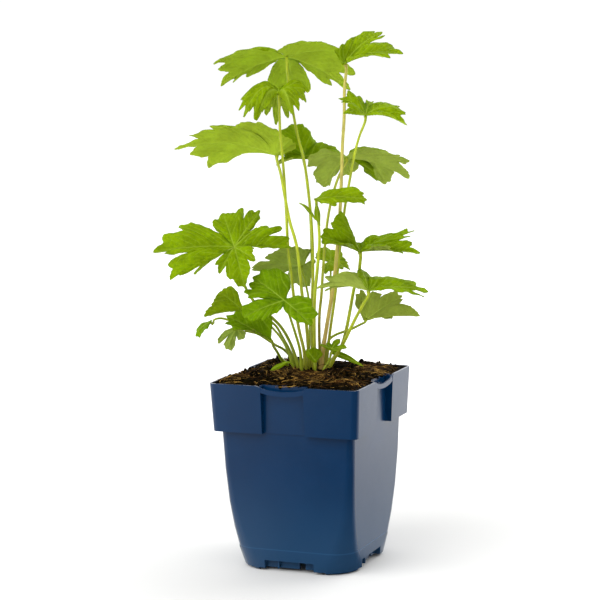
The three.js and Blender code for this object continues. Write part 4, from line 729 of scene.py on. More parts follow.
def layered(tree, colour, layers):
    """A colour with tints laid over it one by one. Each layer is a value, the ends of its range, the share of
    the tint at either end, with a smooth step between, and the tint."""
    for value, low, high, share_low, share_high, tint in layers:
        share = add_node(tree, "MapRange", [value, low, high, share_low, share_high], SMOOTH)[0]
        colour = add_node(tree, "Mix", {0: share, 6: colour, 7: tint}, {"data_type": "RGBA"})[2]
    return colour


def add_skin(tree, inputs, bump=None, glow=None, passed=0.0):
    """Adds the skin of a material with the given inputs. A bump is its strength, its depth in mm and the
    value of its height. Where there is a glow, the share passed of the light shines through in its colour."""
    relief = {}
    if bump is not None:
        strength, millimetres, height = bump
        relief["Normal"] = add_node(tree, "Bump", {"Strength": strength, "Distance": millimetres * MM,
                                                   "Height": height})["Normal"]
    skin = add_node(tree, "BsdfPrincipled", {**inputs, **relief})[0]
    if glow is not None:
        through = add_node(tree, "BsdfTranslucent", {"Color": glow, **relief})[0]
        skin = add_node(tree, "MixShader", [passed, skin, through])[0]
    add_node(tree, "OutputMaterial", [skin])


def shade(colour, factor):
    """The colour with its channels multiplied by a number or by three."""
    return (*np.clip(np.array(colour[:3]) * factor, 0, 1), 1.0)


def leaf_material(tint, side, settings):
    """Living leaf: a waxy skin over green tissue. The skin gives a soft sheen, thin tissue lets light through
    as yellow green, veins are paler, and the tissue between them has a fine net. Painted shade darkens the
    tissue along the creases between lobes."""
    name = f"leaf_{side}_{tint}"
    if name in bpy.data.materials:
        return bpy.data.materials[name]
    colour = getattr(settings, f"{tint}_{side}")
    dark, light, dark_flecks, light_flecks, netted, raised, gloss, satin, dull = BLADE_LOOKS[side]
    material, tree, read = new_material(name, {"patches": (16, 2, 0.55), "flecks": (2.4, 3, 0.55)},
                                        ("vein", "rib", "fine", "margin", "crease"))
    # Cells between the finest veins are about 2 mm across
    net = add_node(tree, "TexVoronoi", {"Vector": read["place"], "Scale": 1 / (2 * MM)},
                   {"feature": "DISTANCE_TO_EDGE"})["Distance"]
    pale = tuple(0.5 * (own + light) for own, light in zip(shade(colour, 1.3), linear(VEIN_TINT)))
    green = layered(tree, shade(colour, dark), [
        (read["patches"], 0.3, 0.7, 0, 1, shade(colour, light)),
        (read["flecks"], 0.3, 0.5, dark_flecks, 0, shade(colour, (0.55, 0.66, 0.6))),
        (read["flecks"], 0.5, 0.7, 0, light_flecks, shade(colour, (1.35, 1.25, 0.9))),
        # Painted shade: the tissue is darkened within 2.6 mm of the creases between lobes, where the folds
        # lie in shade
        (read["crease"], 0, 2.6, 0.85, 0, shade(colour, (0.4, 0.55, 0.4))),
        (read["rib"], 0, 1.5, 0.34, 0, pale),
        (net, 0, 0.09, netted, 0, pale),
        (read["fine"], 0.05, 0.55, 0.42, 0, pale),
        (read["vein"], 0.5, 1.3, 0.9, 0, pale),
        (read["margin"], 0, 0.9, 0.35, 0, shade(colour, (1.4, 1.2, 0.9))),
    ])
    height = read["flecks"]
    for value, low, high, depth in ((read["vein"], 0.55, 1.5, 0.8), (net, 0, 0.09, 0.5)):
        line = add_node(tree, "MapRange", [value, low, high, 1, 0], SMOOTH)[0]
        height = add_node(tree, "Math", [line, raised * depth, height], {"operation": "MULTIPLY_ADD"})[0]
    rough = add_node(tree, "MapRange", [read["flecks"], 0.3, 0.7, satin, dull], SMOOTH)[0]
    glow = add_node(tree, "Mix", {0: 1, 6: green, 7: (1, 1, 0.55, 1)},
                    {"data_type": "RGBA", "blend_type": "MULTIPLY"})[2]
    glow = add_node(tree, "Mix", {0: 0.5, 6: glow, 7: shade(colour, (1.5, 1.35, 0.5))},
                    {"data_type": "RGBA"})[2]
    add_skin(tree, {"Base Color": green, "Roughness": rough, "IOR": SKIN_IOR, "Specular IOR Level": gloss},
             (0.9, 0.4, height), glow, passed=0.42)
    return material


def stalk_material(tint, settings):
    """Living stalk: a thin waxy skin with fine lengthwise streaks, flushed red near the soil."""
    name = "stalk_skin_" + tint
    if name in bpy.data.materials:
        return bpy.data.materials[name]
    colour = getattr(settings, tint)
    # Streaks are 0.5 mm wide and about 8 mm long
    grains = {"streaks": (0.5, 2, 0.55, (1, 1, 0.06)), "patches": (9, 2, 0.55)}
    material, tree, read = new_material(name, grains, ("height",), "unrolled")
    body = layered(tree, shade(colour, 0.68), [
        (read["streaks"], 0.35, 0.65, 0, 1, shade(colour, 1.22)),
        (read["patches"], 0.4, 0.75, 0, 0.4, shade(colour, (0.9, 1.05, 0.8))),
        (read["height"], 0, 0.55, 0.6, 0, linear(FLUSH[tint])),
    ])
    rough = add_node(tree, "MapRange", [read["streaks"], 0.3, 0.7, 0.3, 0.42], SMOOTH)[0]
    add_skin(tree, {"Base Color": body, "Roughness": rough, "IOR": SKIN_IOR, "Specular IOR Level": 0.45},
             (0.4, 0.1, read["streaks"]), body, passed=0.22)
    return material


def hair_material(colour):
    """Plant hair: a clear cell wall, so it is pale and lets most light through."""
    material, tree, read = new_material("plant_hair", {"tone": (3, 2, 0.55)})
    body = add_node(tree, "Mix", {0: read["tone"], 6: shade(colour, 0.8), 7: shade(colour, 1.05)},
                    {"data_type": "RGBA"})[2]
    add_skin(tree, {"Base Color": body, "Roughness": 0.5}, None, body, passed=0.5)
    return material


def peat_material(settings):
    """Moist peat: crumbly and almost without gloss, dark where it is wet and brown where it has dried."""
    # Patches some 25 mm wide are where bits of straw and bark have washed together
    material, tree, read = new_material("moist_peat", {
        "patches": (14, 3, 0.55), "grains": (1.3, 5, 0.7), "drift": (25, 2, 0.55), "bits": (2.2, 4, 0.7)})
    wet = settings.peat
    body = layered(tree, shade(wet, 1), [
        (read["grains"], 0.42, 0.66, 0, 1, tuple(settings.dry)),
        (read["patches"], 0.35, 0.62, 0.8, 0, shade(wet, 0.5)),
    ])
    drift = add_node(tree, "MapRange", [read["drift"], 0.5, 0.62, 0, 1], SMOOTH)[0]
    bits = add_node(tree, "MapRange", [read["bits"], 0.5, 0.6, 0, 1], SMOOTH)[0]
    share = add_node(tree, "Math", [drift, bits], {"operation": "MULTIPLY"})[0]
    body = add_node(tree, "Mix", {0: share, 6: body, 7: tuple(settings.straw)}, {"data_type": "RGBA"})[2]
    # Painted shade: the hollow before the stems is darkened almost to black, and the peat there is wet
    hollow = add_node(tree, "VectorMath", [read["place"], (PIT[0] * MM, PIT[1] * MM, SOIL_EDGE * MM)],
                      {"operation": "DISTANCE"})["Value"]
    body = layered(tree, body, [(hollow, 5 * MM, 11 * MM, 0.85, 0, shade(wet, 0.4))])
    rough = add_node(tree, "MapRange", [read["patches"], 0.3, 0.7, 0.82, 0.97], SMOOTH)[0]
    add_skin(tree, {"Base Color": body, "Roughness": rough, "Specular IOR Level": 0.02},
             (1, 1.2, read["grains"]))
    return material


def fibre_material(name, colour):
    """Coarse plant fibre, split and dry: streaked and without gloss."""
    material, tree, read = new_material(name, {"tone": (5, 2, 0.55), "grain": (0.6, 3, 0.55)})
    body = layered(tree, shade(colour, 0.12), [
        (read["tone"], 0.42, 0.7, 0, 1, shade(colour, 1.35)),
        (read["grain"], 0.4, 0.7, 0, 0.5, shade(colour, 0.7)),
    ])
    add_skin(tree, {"Base Color": body, "Roughness": 0.85, "Specular IOR Level": 0.1})
    return material


def root_material():
    """Woody crown: cork-like brown skin, furrowed lengthwise."""
    material, tree, read = new_material("woody_root", {"furrows": (2.2, 5, 0.7)})
    dark, light = [linear(tint) for tint in ROOT_TINTS]
    body = layered(tree, dark, [(read["furrows"], 0.35, 0.65, 0, 1, light)])
    add_skin(tree, {"Base Color": body, "Roughness": 0.85}, (0.8, 0.5, read["furrows"]))
    return material


def pot_material(settings):
    """Injection-moulded polypropylene: satin, with a faint orange-peel skin from the mould and dull rubbed
    patches. It is lighter towards the foot, and a painted highlight, a thin light line, runs where the ridge
    of the foot band catches the light."""
    material, tree, read = new_material("moulded_polypropylene", {
        "clouds": (38, 3, 0.55), "rubbed": (9, 5, 0.65), "peel": (0.9, 2, 0.55)})
    height = add_node(tree, "SeparateXYZ", [read["place"]])["Z"]
    above = add_node(tree, "Math", [height, RIDGE_HIGHLIGHT_HEIGHT * MM], {"operation": "SUBTRACT"})[0]
    apart = add_node(tree, "Math", [above], {"operation": "ABSOLUTE"})[0]
    wear_and_highlight = settings.wear_and_highlight
    # The last layer is a painted highlight, a light line 0.8 mm wide where the ridge of the foot band catches
    # the light
    body = layered(tree, shade(settings.plastic, 0.95), [
        (read["clouds"], 0.35, 0.65, 0, 1, shade(settings.plastic, 1.05)),
        (read["rubbed"], 0.55, 0.8, 0, 0.06, tuple(wear_and_highlight)),
        # Lighter towards the foot: the worn colour lies fully over the plastic at the floor and fades out by
        # 90 mm up
        (height, 0, 0.09, 1, 0, tuple(wear_and_highlight)),
        (apart, 0.2 * MM, 0.6 * MM, 0.6, 0, shade(wear_and_highlight, 1.6)),
    ])
    rough = add_node(tree, "MapRange", [read["rubbed"], 0.35, 0.75, 0.21, 0.25], SMOOTH)[0]
    add_skin(tree, {"Base Color": body, "Roughness": rough, "IOR": PLASTIC_IOR, "Specular IOR Level": 0.33},
             (0.04, 0.1, read["peel"]))
    return material


def mirrored(tree, direction, plain, dark, bright):
    """A strength that is plain, except for the rays of a glossy reflection: for them it goes from dark at the
    front right to bright behind the plant, as between a black screen and a lit wall."""
    glossy = add_node(tree, "LightPath")["Is Glossy Ray"]
    heading = add_node(tree, "VectorMath", [direction], {"operation": "NORMALIZE"})["Vector"]
    behind = add_node(tree, "VectorMath", [heading, SCREEN_AXIS], {"operation": "DOT_PRODUCT"})["Value"]
    mirror = add_node(tree, "MapRange", [behind, *SCREEN_EDGES, dark, bright], SMOOTH)[0]
    return add_node(tree, "Mix", {"Factor": glossy, "A": plain, "B": mirror})[0]


def floor_material(colour):
    """Matt painted board: even, with a very faint mottle. Far from the pot it glows as bright as the
    surroundings, so no line shows where it ends. In glossy reflections it turns black at the front right, a
    painted dark reflection."""
    material, tree, read = new_material("matt_board", {"mottle": (120, 2, 0.55)})
    # Painted reflection: to glossy rays the floor turns black at the front right, as a black screen there
    # would look
    shown = mirrored(tree, read["place"], 1, FLOOR_DARK, 1)
    body = add_node(tree, "Mix", {0: read["mottle"], 6: shade(colour, 0.985), 7: shade(colour, 1)},
                    {"data_type": "RGBA"})[2]
    body = add_node(tree, "Mix", {0: shown, 6: (0, 0, 0, 1), 7: body}, {"data_type": "RGBA"})[2]
    away = add_node(tree, "VectorMath", [read["place"]], {"operation": "LENGTH"})["Value"]
    lit = add_node(tree, "MapRange", [away, 0.12, 0.7, 0, 0.5], SMOOTH)[0]
    glow = add_node(tree, "Math", [lit, shown], {"operation": "MULTIPLY"})[0]
    add_skin(tree, {"Base Color": body, "Roughness": 0.7, "Specular IOR Level": 0.2,
                    "Emission Color": (1, 1, 1, 1), "Emission Strength": glow})
    return material


def rear_offset(up, tips):
    """Point of the rim behind the stalk: half way round the gap between the last tooth and the first,
    measured about the upper side's direction, REAR_RADIUS from the hub."""
    flat = unit(tips - (tips @ up)[:, None] * up)
    across = np.cross(up, flat[0])
    steps = np.diff(np.arctan2(flat @ across, flat @ flat[0]))
    total = np.arctan2(np.sin(steps), np.cos(steps)).sum()
    turn = -(2 * math.pi - abs(total)) * math.copysign(1, total) / 2
    return (flat[0] * math.cos(turn) + across * math.sin(turn)) * REAR_RADIUS


def rim_curve(leaf, up, step):
    """The blade's rim, evenly spaced: the offsets from the hub, and the share of that length reached. Between
    two teeth the direction turns evenly, the length changes evenly, and the share sinks as (1 - bay) t^power,
    where t goes from 0 at the teeth to 1 midway."""
    tips = place(leaf["rim"]) - place(leaf["hub"])
    bays = np.array([tip[3] for tip in leaf["rim"][:-1]])[:, None, None]
    u = np.linspace(0, 1, RIM_SUBSTEPS, endpoint=False)[:, None]
    first, second = tips[:-1, None], tips[1:, None]
    angle = np.arccos(np.clip((unit(first) * unit(second)).sum(-1, keepdims=True), -1, 1))
    angle = np.maximum(angle, 1e-4)
    heading = (unit(first) * np.sin((1 - u) * angle) + unit(second) * np.sin(u * angle)) / np.sin(angle)
    length = np.linalg.norm(first, axis=-1, keepdims=True) * (1 - u)
    length = length + np.linalg.norm(second, axis=-1, keepdims=True) * u
    power = np.where(bays < DEEP_BAY, DEEP_POWER, TOOTH_POWER)
    shares = (1 - (1 - bays) * (1 - np.abs(2 * u - 1)) ** power).ravel()
    rear = rear_offset(up, tips)
    offsets = np.concatenate([(heading * length).reshape(-1, 3), tips[-1] + (rear - tips[-1]) * u,
                              rear + (tips[0] - rear) * u, tips[:1]])
    shares = np.concatenate([shares, np.ones(len(offsets) - len(shares))])
    way = walked(offsets * shares[:, None])
    stops = np.linspace(0, way[-1], max(24, int(way[-1] / step)), endpoint=False)
    offsets, shares = stopped(stops, way, offsets), np.interp(stops, way, shares)
    if np.cross(offsets, np.roll(offsets, -1, 0)).sum(0) @ up < 0:
        offsets, shares = offsets[::-1], shares[::-1]
    return offsets, shares


def hashed(cells, seed):
    """A number from 0 to 1 for each whole-numbered cell: the fraction left of a large sine."""
    mixed = np.sin(cells[..., 0] * 127.1 + cells[..., 1] * 311.7 + seed * 74.7) * 43758.5453
    return mixed - np.floor(mixed)


def serrated(rim, settings):
    """Factors that cut fine teeth into the rim: saws of random height, one to each SAW_LENGTH, that rise
    slowly and drop fast towards the lobe's tip on either side of it."""
    reach = np.linalg.norm(rim, axis=1)
    teeth = walked_round(rim) / SAW_LENGTH
    phase = teeth - np.floor(teeth)
    rising = smooth_share(np.roll(reach, -TOOTH_WINDOW) - np.roll(reach, TOOTH_WINDOW), -1.5, 1.5)
    saw = rising * phase ** SAW_POWER + (1 - rising) * (1 - phase) ** SAW_POWER
    cells = np.stack([np.floor(teeth), np.full_like(teeth, np.round(reach[0] * 10))], -1)
    size = SAW_LEAST + (1 - SAW_LEAST) * hashed(cells, SAW_SEED)
    height = settings.serration / MM * size * smooth_share(reach, SAW_START, SAW_FULL)
    return 1 - height * (1 - saw) / np.maximum(reach, 1)


def teeth_of(reach):
    """Places along the closed rim that lie farther out than all others within TOOTH_WINDOW, the number of
    the lobe each belongs to, and the places of the bays between lobes. A new lobe starts where the rim
    between two teeth comes in past LOBE_DEPTH."""
    count = len(reach)
    near = reach[(np.arange(count)[:, None] + np.arange(-TOOTH_WINDOW, TOOTH_WINDOW + 1)) % count]
    teeth = np.flatnonzero((reach >= near.max(1)) & (reach - near.min(1) > TOOTH_HEIGHT))
    bays = np.array([a + reach[a:b + 1].argmin() for a, b in zip(teeth[:-1], teeth[1:])], int)
    parted = reach[bays] < LOBE_DEPTH * np.minimum(reach[teeth[:-1]], reach[teeth[1:]])
    return teeth, np.concatenate([[0], np.cumsum(parted)]), bays[parted]


def vein_line(start, start_bearing, end, end_bearing, start_width, end_width):
    """Straight run in the unrolled blade between two points given by distance and bearing, a point every
    VEIN_STEP: columns are x, y and the vein's half width, which changes evenly."""
    a = start * np.array([math.cos(start_bearing), math.sin(start_bearing)])
    b = end * np.array([math.cos(end_bearing), math.sin(end_bearing)])
    t = np.linspace(0, 1, max(3, int(np.linalg.norm(b - a) / VEIN_STEP)))[:, None]
    return np.hstack([a + (b - a) * t, start_width + (end_width - start_width) * t])


def vein_points(offsets, reach):
    """Bearings of the rim points and of the main veins in the unrolled blade, and points along the veins
    with each point's half width in mm: main veins, then all, then the creases from the hub to the bays.
    A lobe's main vein runs straight from the hub to its farthest tooth. The other teeth get a vein that
    leaves the main one at VEIN_BRANCH, or one of their own from the hub where they are far round."""
    heading = unit(offsets)
    turn = np.arccos(np.clip((heading * np.roll(heading, -1, 0)).sum(-1), -1, 1))
    bearing = np.concatenate([[0], np.cumsum(turn)[:-1]])
    teeth, lobe, bays = teeth_of(reach)
    main, side, leads = [], [], []
    creases = [vein_line(0, bearing[bay], reach[bay], bearing[bay], 1, 1) for bay in bays]
    creases.append(np.array([[FAR_OFF, FAR_OFF, 1]]))
    for number in np.unique(lobe):
        members = teeth[lobe == number]
        leaders = []
        for tooth in sorted(members, key=lambda i: -reach[i]):
            if all(abs(bearing[tooth] - bearing[leader]) > VEIN_SPREAD for leader in leaders):
                leaders.append(tooth)
                leads.append(bearing[tooth])
                end = reach[tooth] * MAIN_END
                main.append(vein_line(0, bearing[tooth], end, bearing[tooth], *MAIN_WIDTHS))
        for tooth in members:
            if tooth in leaders:
                continue
            leader = min(leaders, key=lambda i: abs(bearing[tooth] - bearing[i]))
            gap = abs(bearing[tooth] - bearing[leader])
            start = reach[tooth] * (math.cos(gap) - math.sin(gap) / math.tan(VEIN_BRANCH))
            start = float(np.clip(start, LEAVE_LEAST * reach[tooth], LEAVE_MOST * reach[leader]))
            end = reach[tooth] * SIDE_END
            side.append(vein_line(start, bearing[leader], end, bearing[tooth], *SIDE_WIDTHS))
    veins, creases = np.concatenate(main + side), np.concatenate(creases)
    return bearing, np.array(leads), np.concatenate(main), veins, creases


def side_veins(away, bearing, leads):
    """Distance in mm to the nearest fine side vein. They leave the main vein of their lobe every
    SIDE_SPACING at the angle VEIN_BRANCH and run parallel, so a point's place among them is its way along
    the main vein less its distance from it over the tangent of that angle."""
    turn = bearing[:, None] - leads
    turn = turn[np.arange(len(turn)), np.abs(turn).argmin(1)][:, None]
    order = (away * np.cos(turn) - away * np.abs(np.sin(turn)) / math.tan(VEIN_BRANCH)) / SIDE_SPACING
    waver = SIDE_WAVER * np.sin(away / WAVER_LENGTH + WAVER_TURNS * bearing[:, None])
    order = order + SIDE_SHIFT * np.sign(turn) + waver
    return np.abs(order - np.round(order)) * SIDE_SPACING * math.sin(VEIN_BRANCH)


def nearest(points, targets, widths=1):
    """Least distance from each point of a grid to the targets, over the width of the target."""
    flat = points.reshape(-1, 2)
    square = (flat ** 2).sum(1)[:, None] + (targets[:, :2] ** 2).sum(1) - 2 * flat @ targets[:, :2].T
    return (np.sqrt(np.maximum(square, 0)) / widths).min(1).reshape(points.shape[:2])


def blade(leaf, settings):
    """Closed thin blade over a grid of rim position by share of the way from the hub. A point is the hub
    plus share times the rim's offset, plus an arch bow L 4 r (1 - r) along the upper side's direction.
    On that, the lobes rise away from their midribs, the veins are sunk, and the rim waves as a sine."""
    up = unit(np.array(leaf["up"], float))
    hub = place(leaf["hub"])
    offsets, shares = rim_curve(leaf, up, settings.rim_step / MM)
    length = np.linalg.norm(offsets, axis=1)[:, None]
    shares = shares * serrated(offsets * shares[:, None], settings)
    bearing, leads, main, veins, creases = vein_points(offsets, length[:, 0] * shares)
    rim = offsets * shares[:, None]
    rim = (np.roll(rim, 1, 0) + 4 * rim + np.roll(rim, -1, 0)) / 6
    reach = np.linalg.norm(rim, axis=1)[:, None]
    around = len(rim)
    rings = int(np.clip(length.max() / (settings.ring_step / MM), *RING_COUNTS))
    share = np.linspace(0, 1, rings + 1)[1:]
    r = reach / length * share
    middle = hub + rim[:, None] * share[:, None] + (leaf["bow"] * length * 4 * r * (1 - r))[..., None] * up
    outward = np.gradient(np.concatenate([np.broadcast_to(hub, (around, 1, 3)), middle], 1), axis=1)[:, 1:]
    normal = unit(np.cross(outward, np.roll(middle, -1, 0) - np.roll(middle, 1, 0)))
    away = length * r
    flat = away[..., None] * np.stack([np.cos(bearing), np.sin(bearing)], -1)[:, None]
    vein = nearest(flat, veins, veins[:, 2])
    rib, crease = nearest(flat, main), nearest(flat, creases)
    fine = side_veins(away, bearing, leads)
    way = walked_round(rim)
    turns = max(3, round(way[-1] / (settings.wave_length / MM)))
    ripple = np.sin(2 * math.pi * turns * way / way[-1])[:, None]
    x, y = flat[..., 0], flat[..., 1]
    blister = np.sin(x / BLISTER_WAVES[0] + BLISTER_BEND * np.sin(y / BLISTER_WAVES[1]))
    blister = blister * np.sin(y / BLISTER_WAVES[2])
    rise = settings.lobe_fold * np.minimum(rib / LOBE_RISE, 1) ** LOBE_POWER * (1 - LOBE_LOSS * share ** 3)
    rise = rise + settings.vein_depth * (1 - np.exp(-(vein / VEIN_GROOVE) ** 2))
    rise = rise + settings.quilt * (1 - np.exp(-(fine / SIDE_GROOVE) ** 2)) * np.minimum(vein / QUILT_FULL, 1)
    rise = rise + settings.blister * blister * np.minimum(vein / BLISTER_FULL, 1)
    rise = rise * smooth_share(away, RELIEF_START, RELIEF_FULL)
    rise = (rise + settings.wave * ripple * share ** 4 * np.minimum(away / WAVE_FULL, 1)) / MM
    middle = middle + normal * rise[..., None]
    half = settings.thickness / MM / 2 * (1 - RIM_THINNING * share ** 6)
    depth = settings.vein_depth / MM
    ridge = depth * RIDGE_SHARE * np.exp(-(vein / VEIN_RIDGE) ** 2) * (1 - share ** 8)
    top = middle + normal * half[:, None]
    bottom = middle - normal * (half + ridge)[..., None]
    hubs = [hub + up * half[0], hub - up * (half[0] + depth)]
    grid = np.arange(vein.size).reshape(vein.shape)
    after = np.roll(grid, -1, 0)
    quads = np.stack([grid[:, :-1], grid[:, 1:], after[:, 1:], after[:, :-1]], -1).reshape(-1, 4)
    under = grid.size
    fan = np.stack([np.full(around, 2 * under), grid[:, 0], after[:, 0]], -1)
    lower = np.stack([np.full(around, 2 * under + 1), after[:, 0] + under, grid[:, 0] + under], -1)
    edge = np.stack([grid[:, -1], grid[:, -1] + under, after[:, -1] + under, after[:, -1]], -1)
    blocks = [(quads, 0), (quads[:, ::-1] + under, 1), (edge, 0), (fan, 0), (lower, 1)]
    points = np.concatenate([top.reshape(-1, 3), bottom.reshape(-1, 3), hubs])
    sides = np.concatenate([np.full(len(faces), side) for faces, side in blocks])
    kinds = (("vein", vein, 0), ("rib", rib, 0), ("fine", fine, NO_VEIN), ("crease", crease, NO_VEIN),
             ("margin", reach * (1 - share), NO_VEIN))
    fields = {key: np.concatenate([values.ravel(), values.ravel(), [at_hub, at_hub]])
              for key, values, at_hub in kinds}
    return points, [faces for faces, _ in blocks], sides, fields


def flow(points, step):
    """Points evenly spaced along the smooth curve through the given ones. Each span is a cubic, whose slope
    at an end is the slope of the run before plus that of the run after less that across both, over spacings
    equal to the roots of the runs' lengths."""
    points = np.asarray(points, float)
    whole = np.concatenate([[2 * points[0] - points[1]], points, [2 * points[-1] - points[-2]]])
    gap = np.maximum(np.linalg.norm(np.diff(whole, axis=0), axis=1) ** 0.5, 1e-4)[:, None]
    p0, p1, p2, p3 = whole[:-3], whole[1:-2], whole[2:-1], whole[3:]
    g0, g1, g2 = gap[:-2], gap[1:-1], gap[2:]
    slope1 = ((p1 - p0) / g0 - (p2 - p0) / (g0 + g1) + (p2 - p1) / g1) * g1
    slope2 = ((p2 - p1) / g1 - (p3 - p1) / (g1 + g2) + (p3 - p2) / g2) * g1
    t = np.linspace(0, 1, SPAN_STEPS, endpoint=False)[:, None, None]
    curve = p1 + slope1 * t + (3 * (p2 - p1) - 2 * slope1 - slope2) * t ** 2
    curve = curve + (2 * (p1 - p2) + slope1 + slope2) * t ** 3
    line = np.concatenate([np.swapaxes(curve, 0, 1).reshape(-1, 3), points[-1:]])
    way = walked(line)
    stops = np.linspace(0, way[-1], max(4, int(way[-1] / step)) + 1)
    return stopped(stops, way, line), stops


def closed_tube(line, first, second, section_x, section_y):
    """Closed skin of a profile carried along a line: point (i, j) is the line's point i plus the profile's
    x and y there along the two directions. Each end is closed by a fan. Points and faces."""
    body = line[:, None] + first[:, None] * section_x[..., None] + second[:, None] * section_y[..., None]
    return np.concatenate([body.reshape(-1, 3), line[:1], line[-1:]]), skin_faces(*section_x.shape)


def stalk(leaf, settings):
    """Ribbed tube along the route, from the crown to just under the blade: its radius goes evenly from foot
    to top, swells into a sheath at the soil and a small cone under the blade, and carries its ribs as a
    cosine round the section."""
    up = unit(np.array(leaf["up"], float))
    hub = place(leaf["hub"])
    x, y = leaf["foot"]
    surface = soil_height(*turned(np.array([x, y, 0.0]))[:2])
    low = [[x, y, CROWN_TOP + STALK_START], [x, y, surface - STALK_SUNK], [x, y, surface + STALK_RISEN]]
    route = np.concatenate([low, place(leaf["route"])[::-1], [hub - up * under for under in STALK_ENDS]])
    line, way = flow(route, settings.step / MM)
    along = unit(np.gradient(line, axis=0))
    first = unit(np.cross(along, (0, 1, 0)))
    base, tip = leaf["thick"]
    share = way / way[-1]
    radius = base + (tip - base) * share
    radius = radius * (1 + settings.sheath * np.exp(-((way - SHEATH_MIDDLE) / SHEATH_REACH) ** 2))
    radius = radius * (1 + CONE_GROWTH * np.exp(-(way[-1] - way) / CONE_LENGTH))
    angle = circle(STALK_SIDES)
    width = radius[:, None] * (1 + settings.rib * np.cos(STALK_RIBS * angle))
    across, upward = width * np.cos(angle), width * np.sin(angle)
    points, faces = closed_tube(line, first, np.cross(along, first), across, upward)
    unrolled = np.stack([across, upward, np.broadcast_to(way[:, None], width.shape)], -1).reshape(-1, 3)
    ends = [[0, 0, 0], [0, 0, way[-1]]]
    height = np.concatenate([np.repeat(share, STALK_SIDES), [0, 1]])
    return points, faces, {"unrolled": np.concatenate([unrolled, ends]) * MM, "height": height}


def hairs(points, count, seed, settings):
    """Three-sided hairs on a stalk's skin: each starts inside it at a random place, and stands out from the
    stalk's middle line with a random lean, narrowing to its tip."""
    draw = np.random.default_rng(seed)
    skin = points[:-2].reshape(-1, STALK_SIDES, 3)
    row = draw.integers(2, len(skin) - 2, count)
    column = draw.integers(0, STALK_SIDES, count)
    middle = skin.mean(1)
    share = draw.uniform(0, 1, count)[:, None]
    root = skin[row, column] * share + skin[row + 1, column] * (1 - share)
    outward = unit(root - (middle[row] * share + middle[row + 1] * (1 - share)))
    along = unit(middle[row + 1] - middle[row])
    heading = unit(outward + along * draw.normal(0, HAIR_LEAN, (count, 1)))
    length = settings.hair / MM * draw.uniform(*HAIR_LENGTHS, (count, 1))
    angle = circle(3)[:, None]
    ring = along[:, None] * np.cos(angle) + np.cross(outward, along)[:, None] * np.sin(angle)
    base = (root - outward * HAIR_ROOT)[:, None] + ring * HAIR_RADIUS
    body = np.concatenate([base, (root + heading * length)[:, None]], 1)
    grid = np.arange(count * 4).reshape(count, 4)
    sides = [grid[:, corners] for corners in ([0, 1, 3], [1, 2, 3], [2, 0, 3], [2, 1, 0])]
    return body.reshape(-1, 3), np.concatenate(sides)


def strap(entry):
    """Lance-shaped blade: an oval section folded along its midrib, whose half width swells as a sine to the
    power 1.5 from foot to tip, with the share of the way bent by a power that puts the belly in its place."""
    line, way = flow(place(entry["midrib"]), STRAP_STEP)
    along = unit(np.gradient(line, axis=0))
    side = unit(np.array(entry["side"], float))
    first = unit(side - (along * side).sum(1, keepdims=True) * along)
    share = way / way[-1]
    bent = share ** (math.log(0.5) / math.log(entry["belly"]))
    half = STRAP_LEAST + (entry["half"] - STRAP_LEAST) * np.sin(math.pi * bent) ** 1.5
    half = (half * (1 - smooth_share(share, STRAP_TIP, 1.0) * STRAP_TIP_LOSS))[:, None]
    angle = circle(STRAP_SIDES)
    flatness = np.abs(np.cos(angle))
    x = half * np.cos(angle)
    wave = STRAP_WAVE[0] * np.sin(way / STRAP_WAVE[1])[:, None] * flatness
    thickness = STRAP_THICKNESS[0] + STRAP_THICKNESS[1] * (1 - flatness) ** 2
    y = thickness * np.sin(angle) + np.abs(x) * STRAP_FOLD + wave
    points, faces = closed_tube(line, first, np.cross(along, first), x, y)
    rib, far = np.abs(x), np.full(x.shape, NO_VEIN)
    kinds = (("vein", rib / STRAP_RIB, 0), ("rib", rib, 0), ("fine", far, NO_VEIN), ("crease", far, NO_VEIN),
             ("margin", half - rib, 1))
    return points, faces, {key: np.concatenate([values.ravel(), [at_end, at_end]])
                           for key, values, at_end in kinds}


def soil_height(x, y):
    """Height of the peat in mm: the edge height, plus a dome that falls with the square of the larger of
    |x| and |y|, plus sine waves that die out at the edge."""
    fall = np.maximum(np.abs(x), np.abs(y)) / RIM_HALF
    waves = sum(size * np.sin(along_x * x + along_y * y + phase)
                for size, along_x, along_y, phase in SOIL_WAVES)
    return SOIL_EDGE + SOIL_DOME * (1 - fall ** 2) + waves * (1 - fall ** 4)


def crumbs(x, y, size, seed):
    """Crumbs from 0 to 1: each square cell holds one point at random, and the surface is the highest of
    the half balls of random radius about the points of the nine cells around."""
    height = np.zeros_like(x)
    cell = np.stack([np.floor(x / size), np.floor(y / size)], -1)
    for step in np.ndindex(3, 3):
        near = cell + step - 1
        centre_x = (near[..., 0] + hashed(near, seed)) * size
        centre_y = (near[..., 1] + hashed(near, seed + 1)) * size
        radius = size * (CRUMB_RADII[0] + CRUMB_RADII[1] * hashed(near, seed + 2))
        inside = 1 - ((x - centre_x) ** 2 + (y - centre_y) ** 2) / radius ** 2
        height = np.maximum(height, np.sqrt(np.clip(inside, 0, 1)) * radius / size)
    return height


def rough_soil(x, y, settings):
    """Height of the peat's crumbly surface: the smooth height plus crumbs of three sizes, less a pit that
    falls off as a bell and a smooth step down beside the wall."""
    rough = sum(share * crumbs(x, y, size, seed) for size, seed, share in CRUMB_SIZES) - CRUMB_MEAN
    fall = np.maximum(np.abs(x), np.abs(y)) / RIM_HALF
    pit = PIT_DEPTH * np.exp(-(((x - PIT[0]) ** 2 + (y - PIT[1]) ** 2) / PIT_RADIUS ** 2) ** 1.5)
    sunk = EDGE_DROP * smooth_share(fall, EDGE_START, EDGE_FULL)
    return soil_height(x, y) + settings.crumb / MM * rough * (1 - CRUMB_LOSS * fall ** 6) - pit - sunk


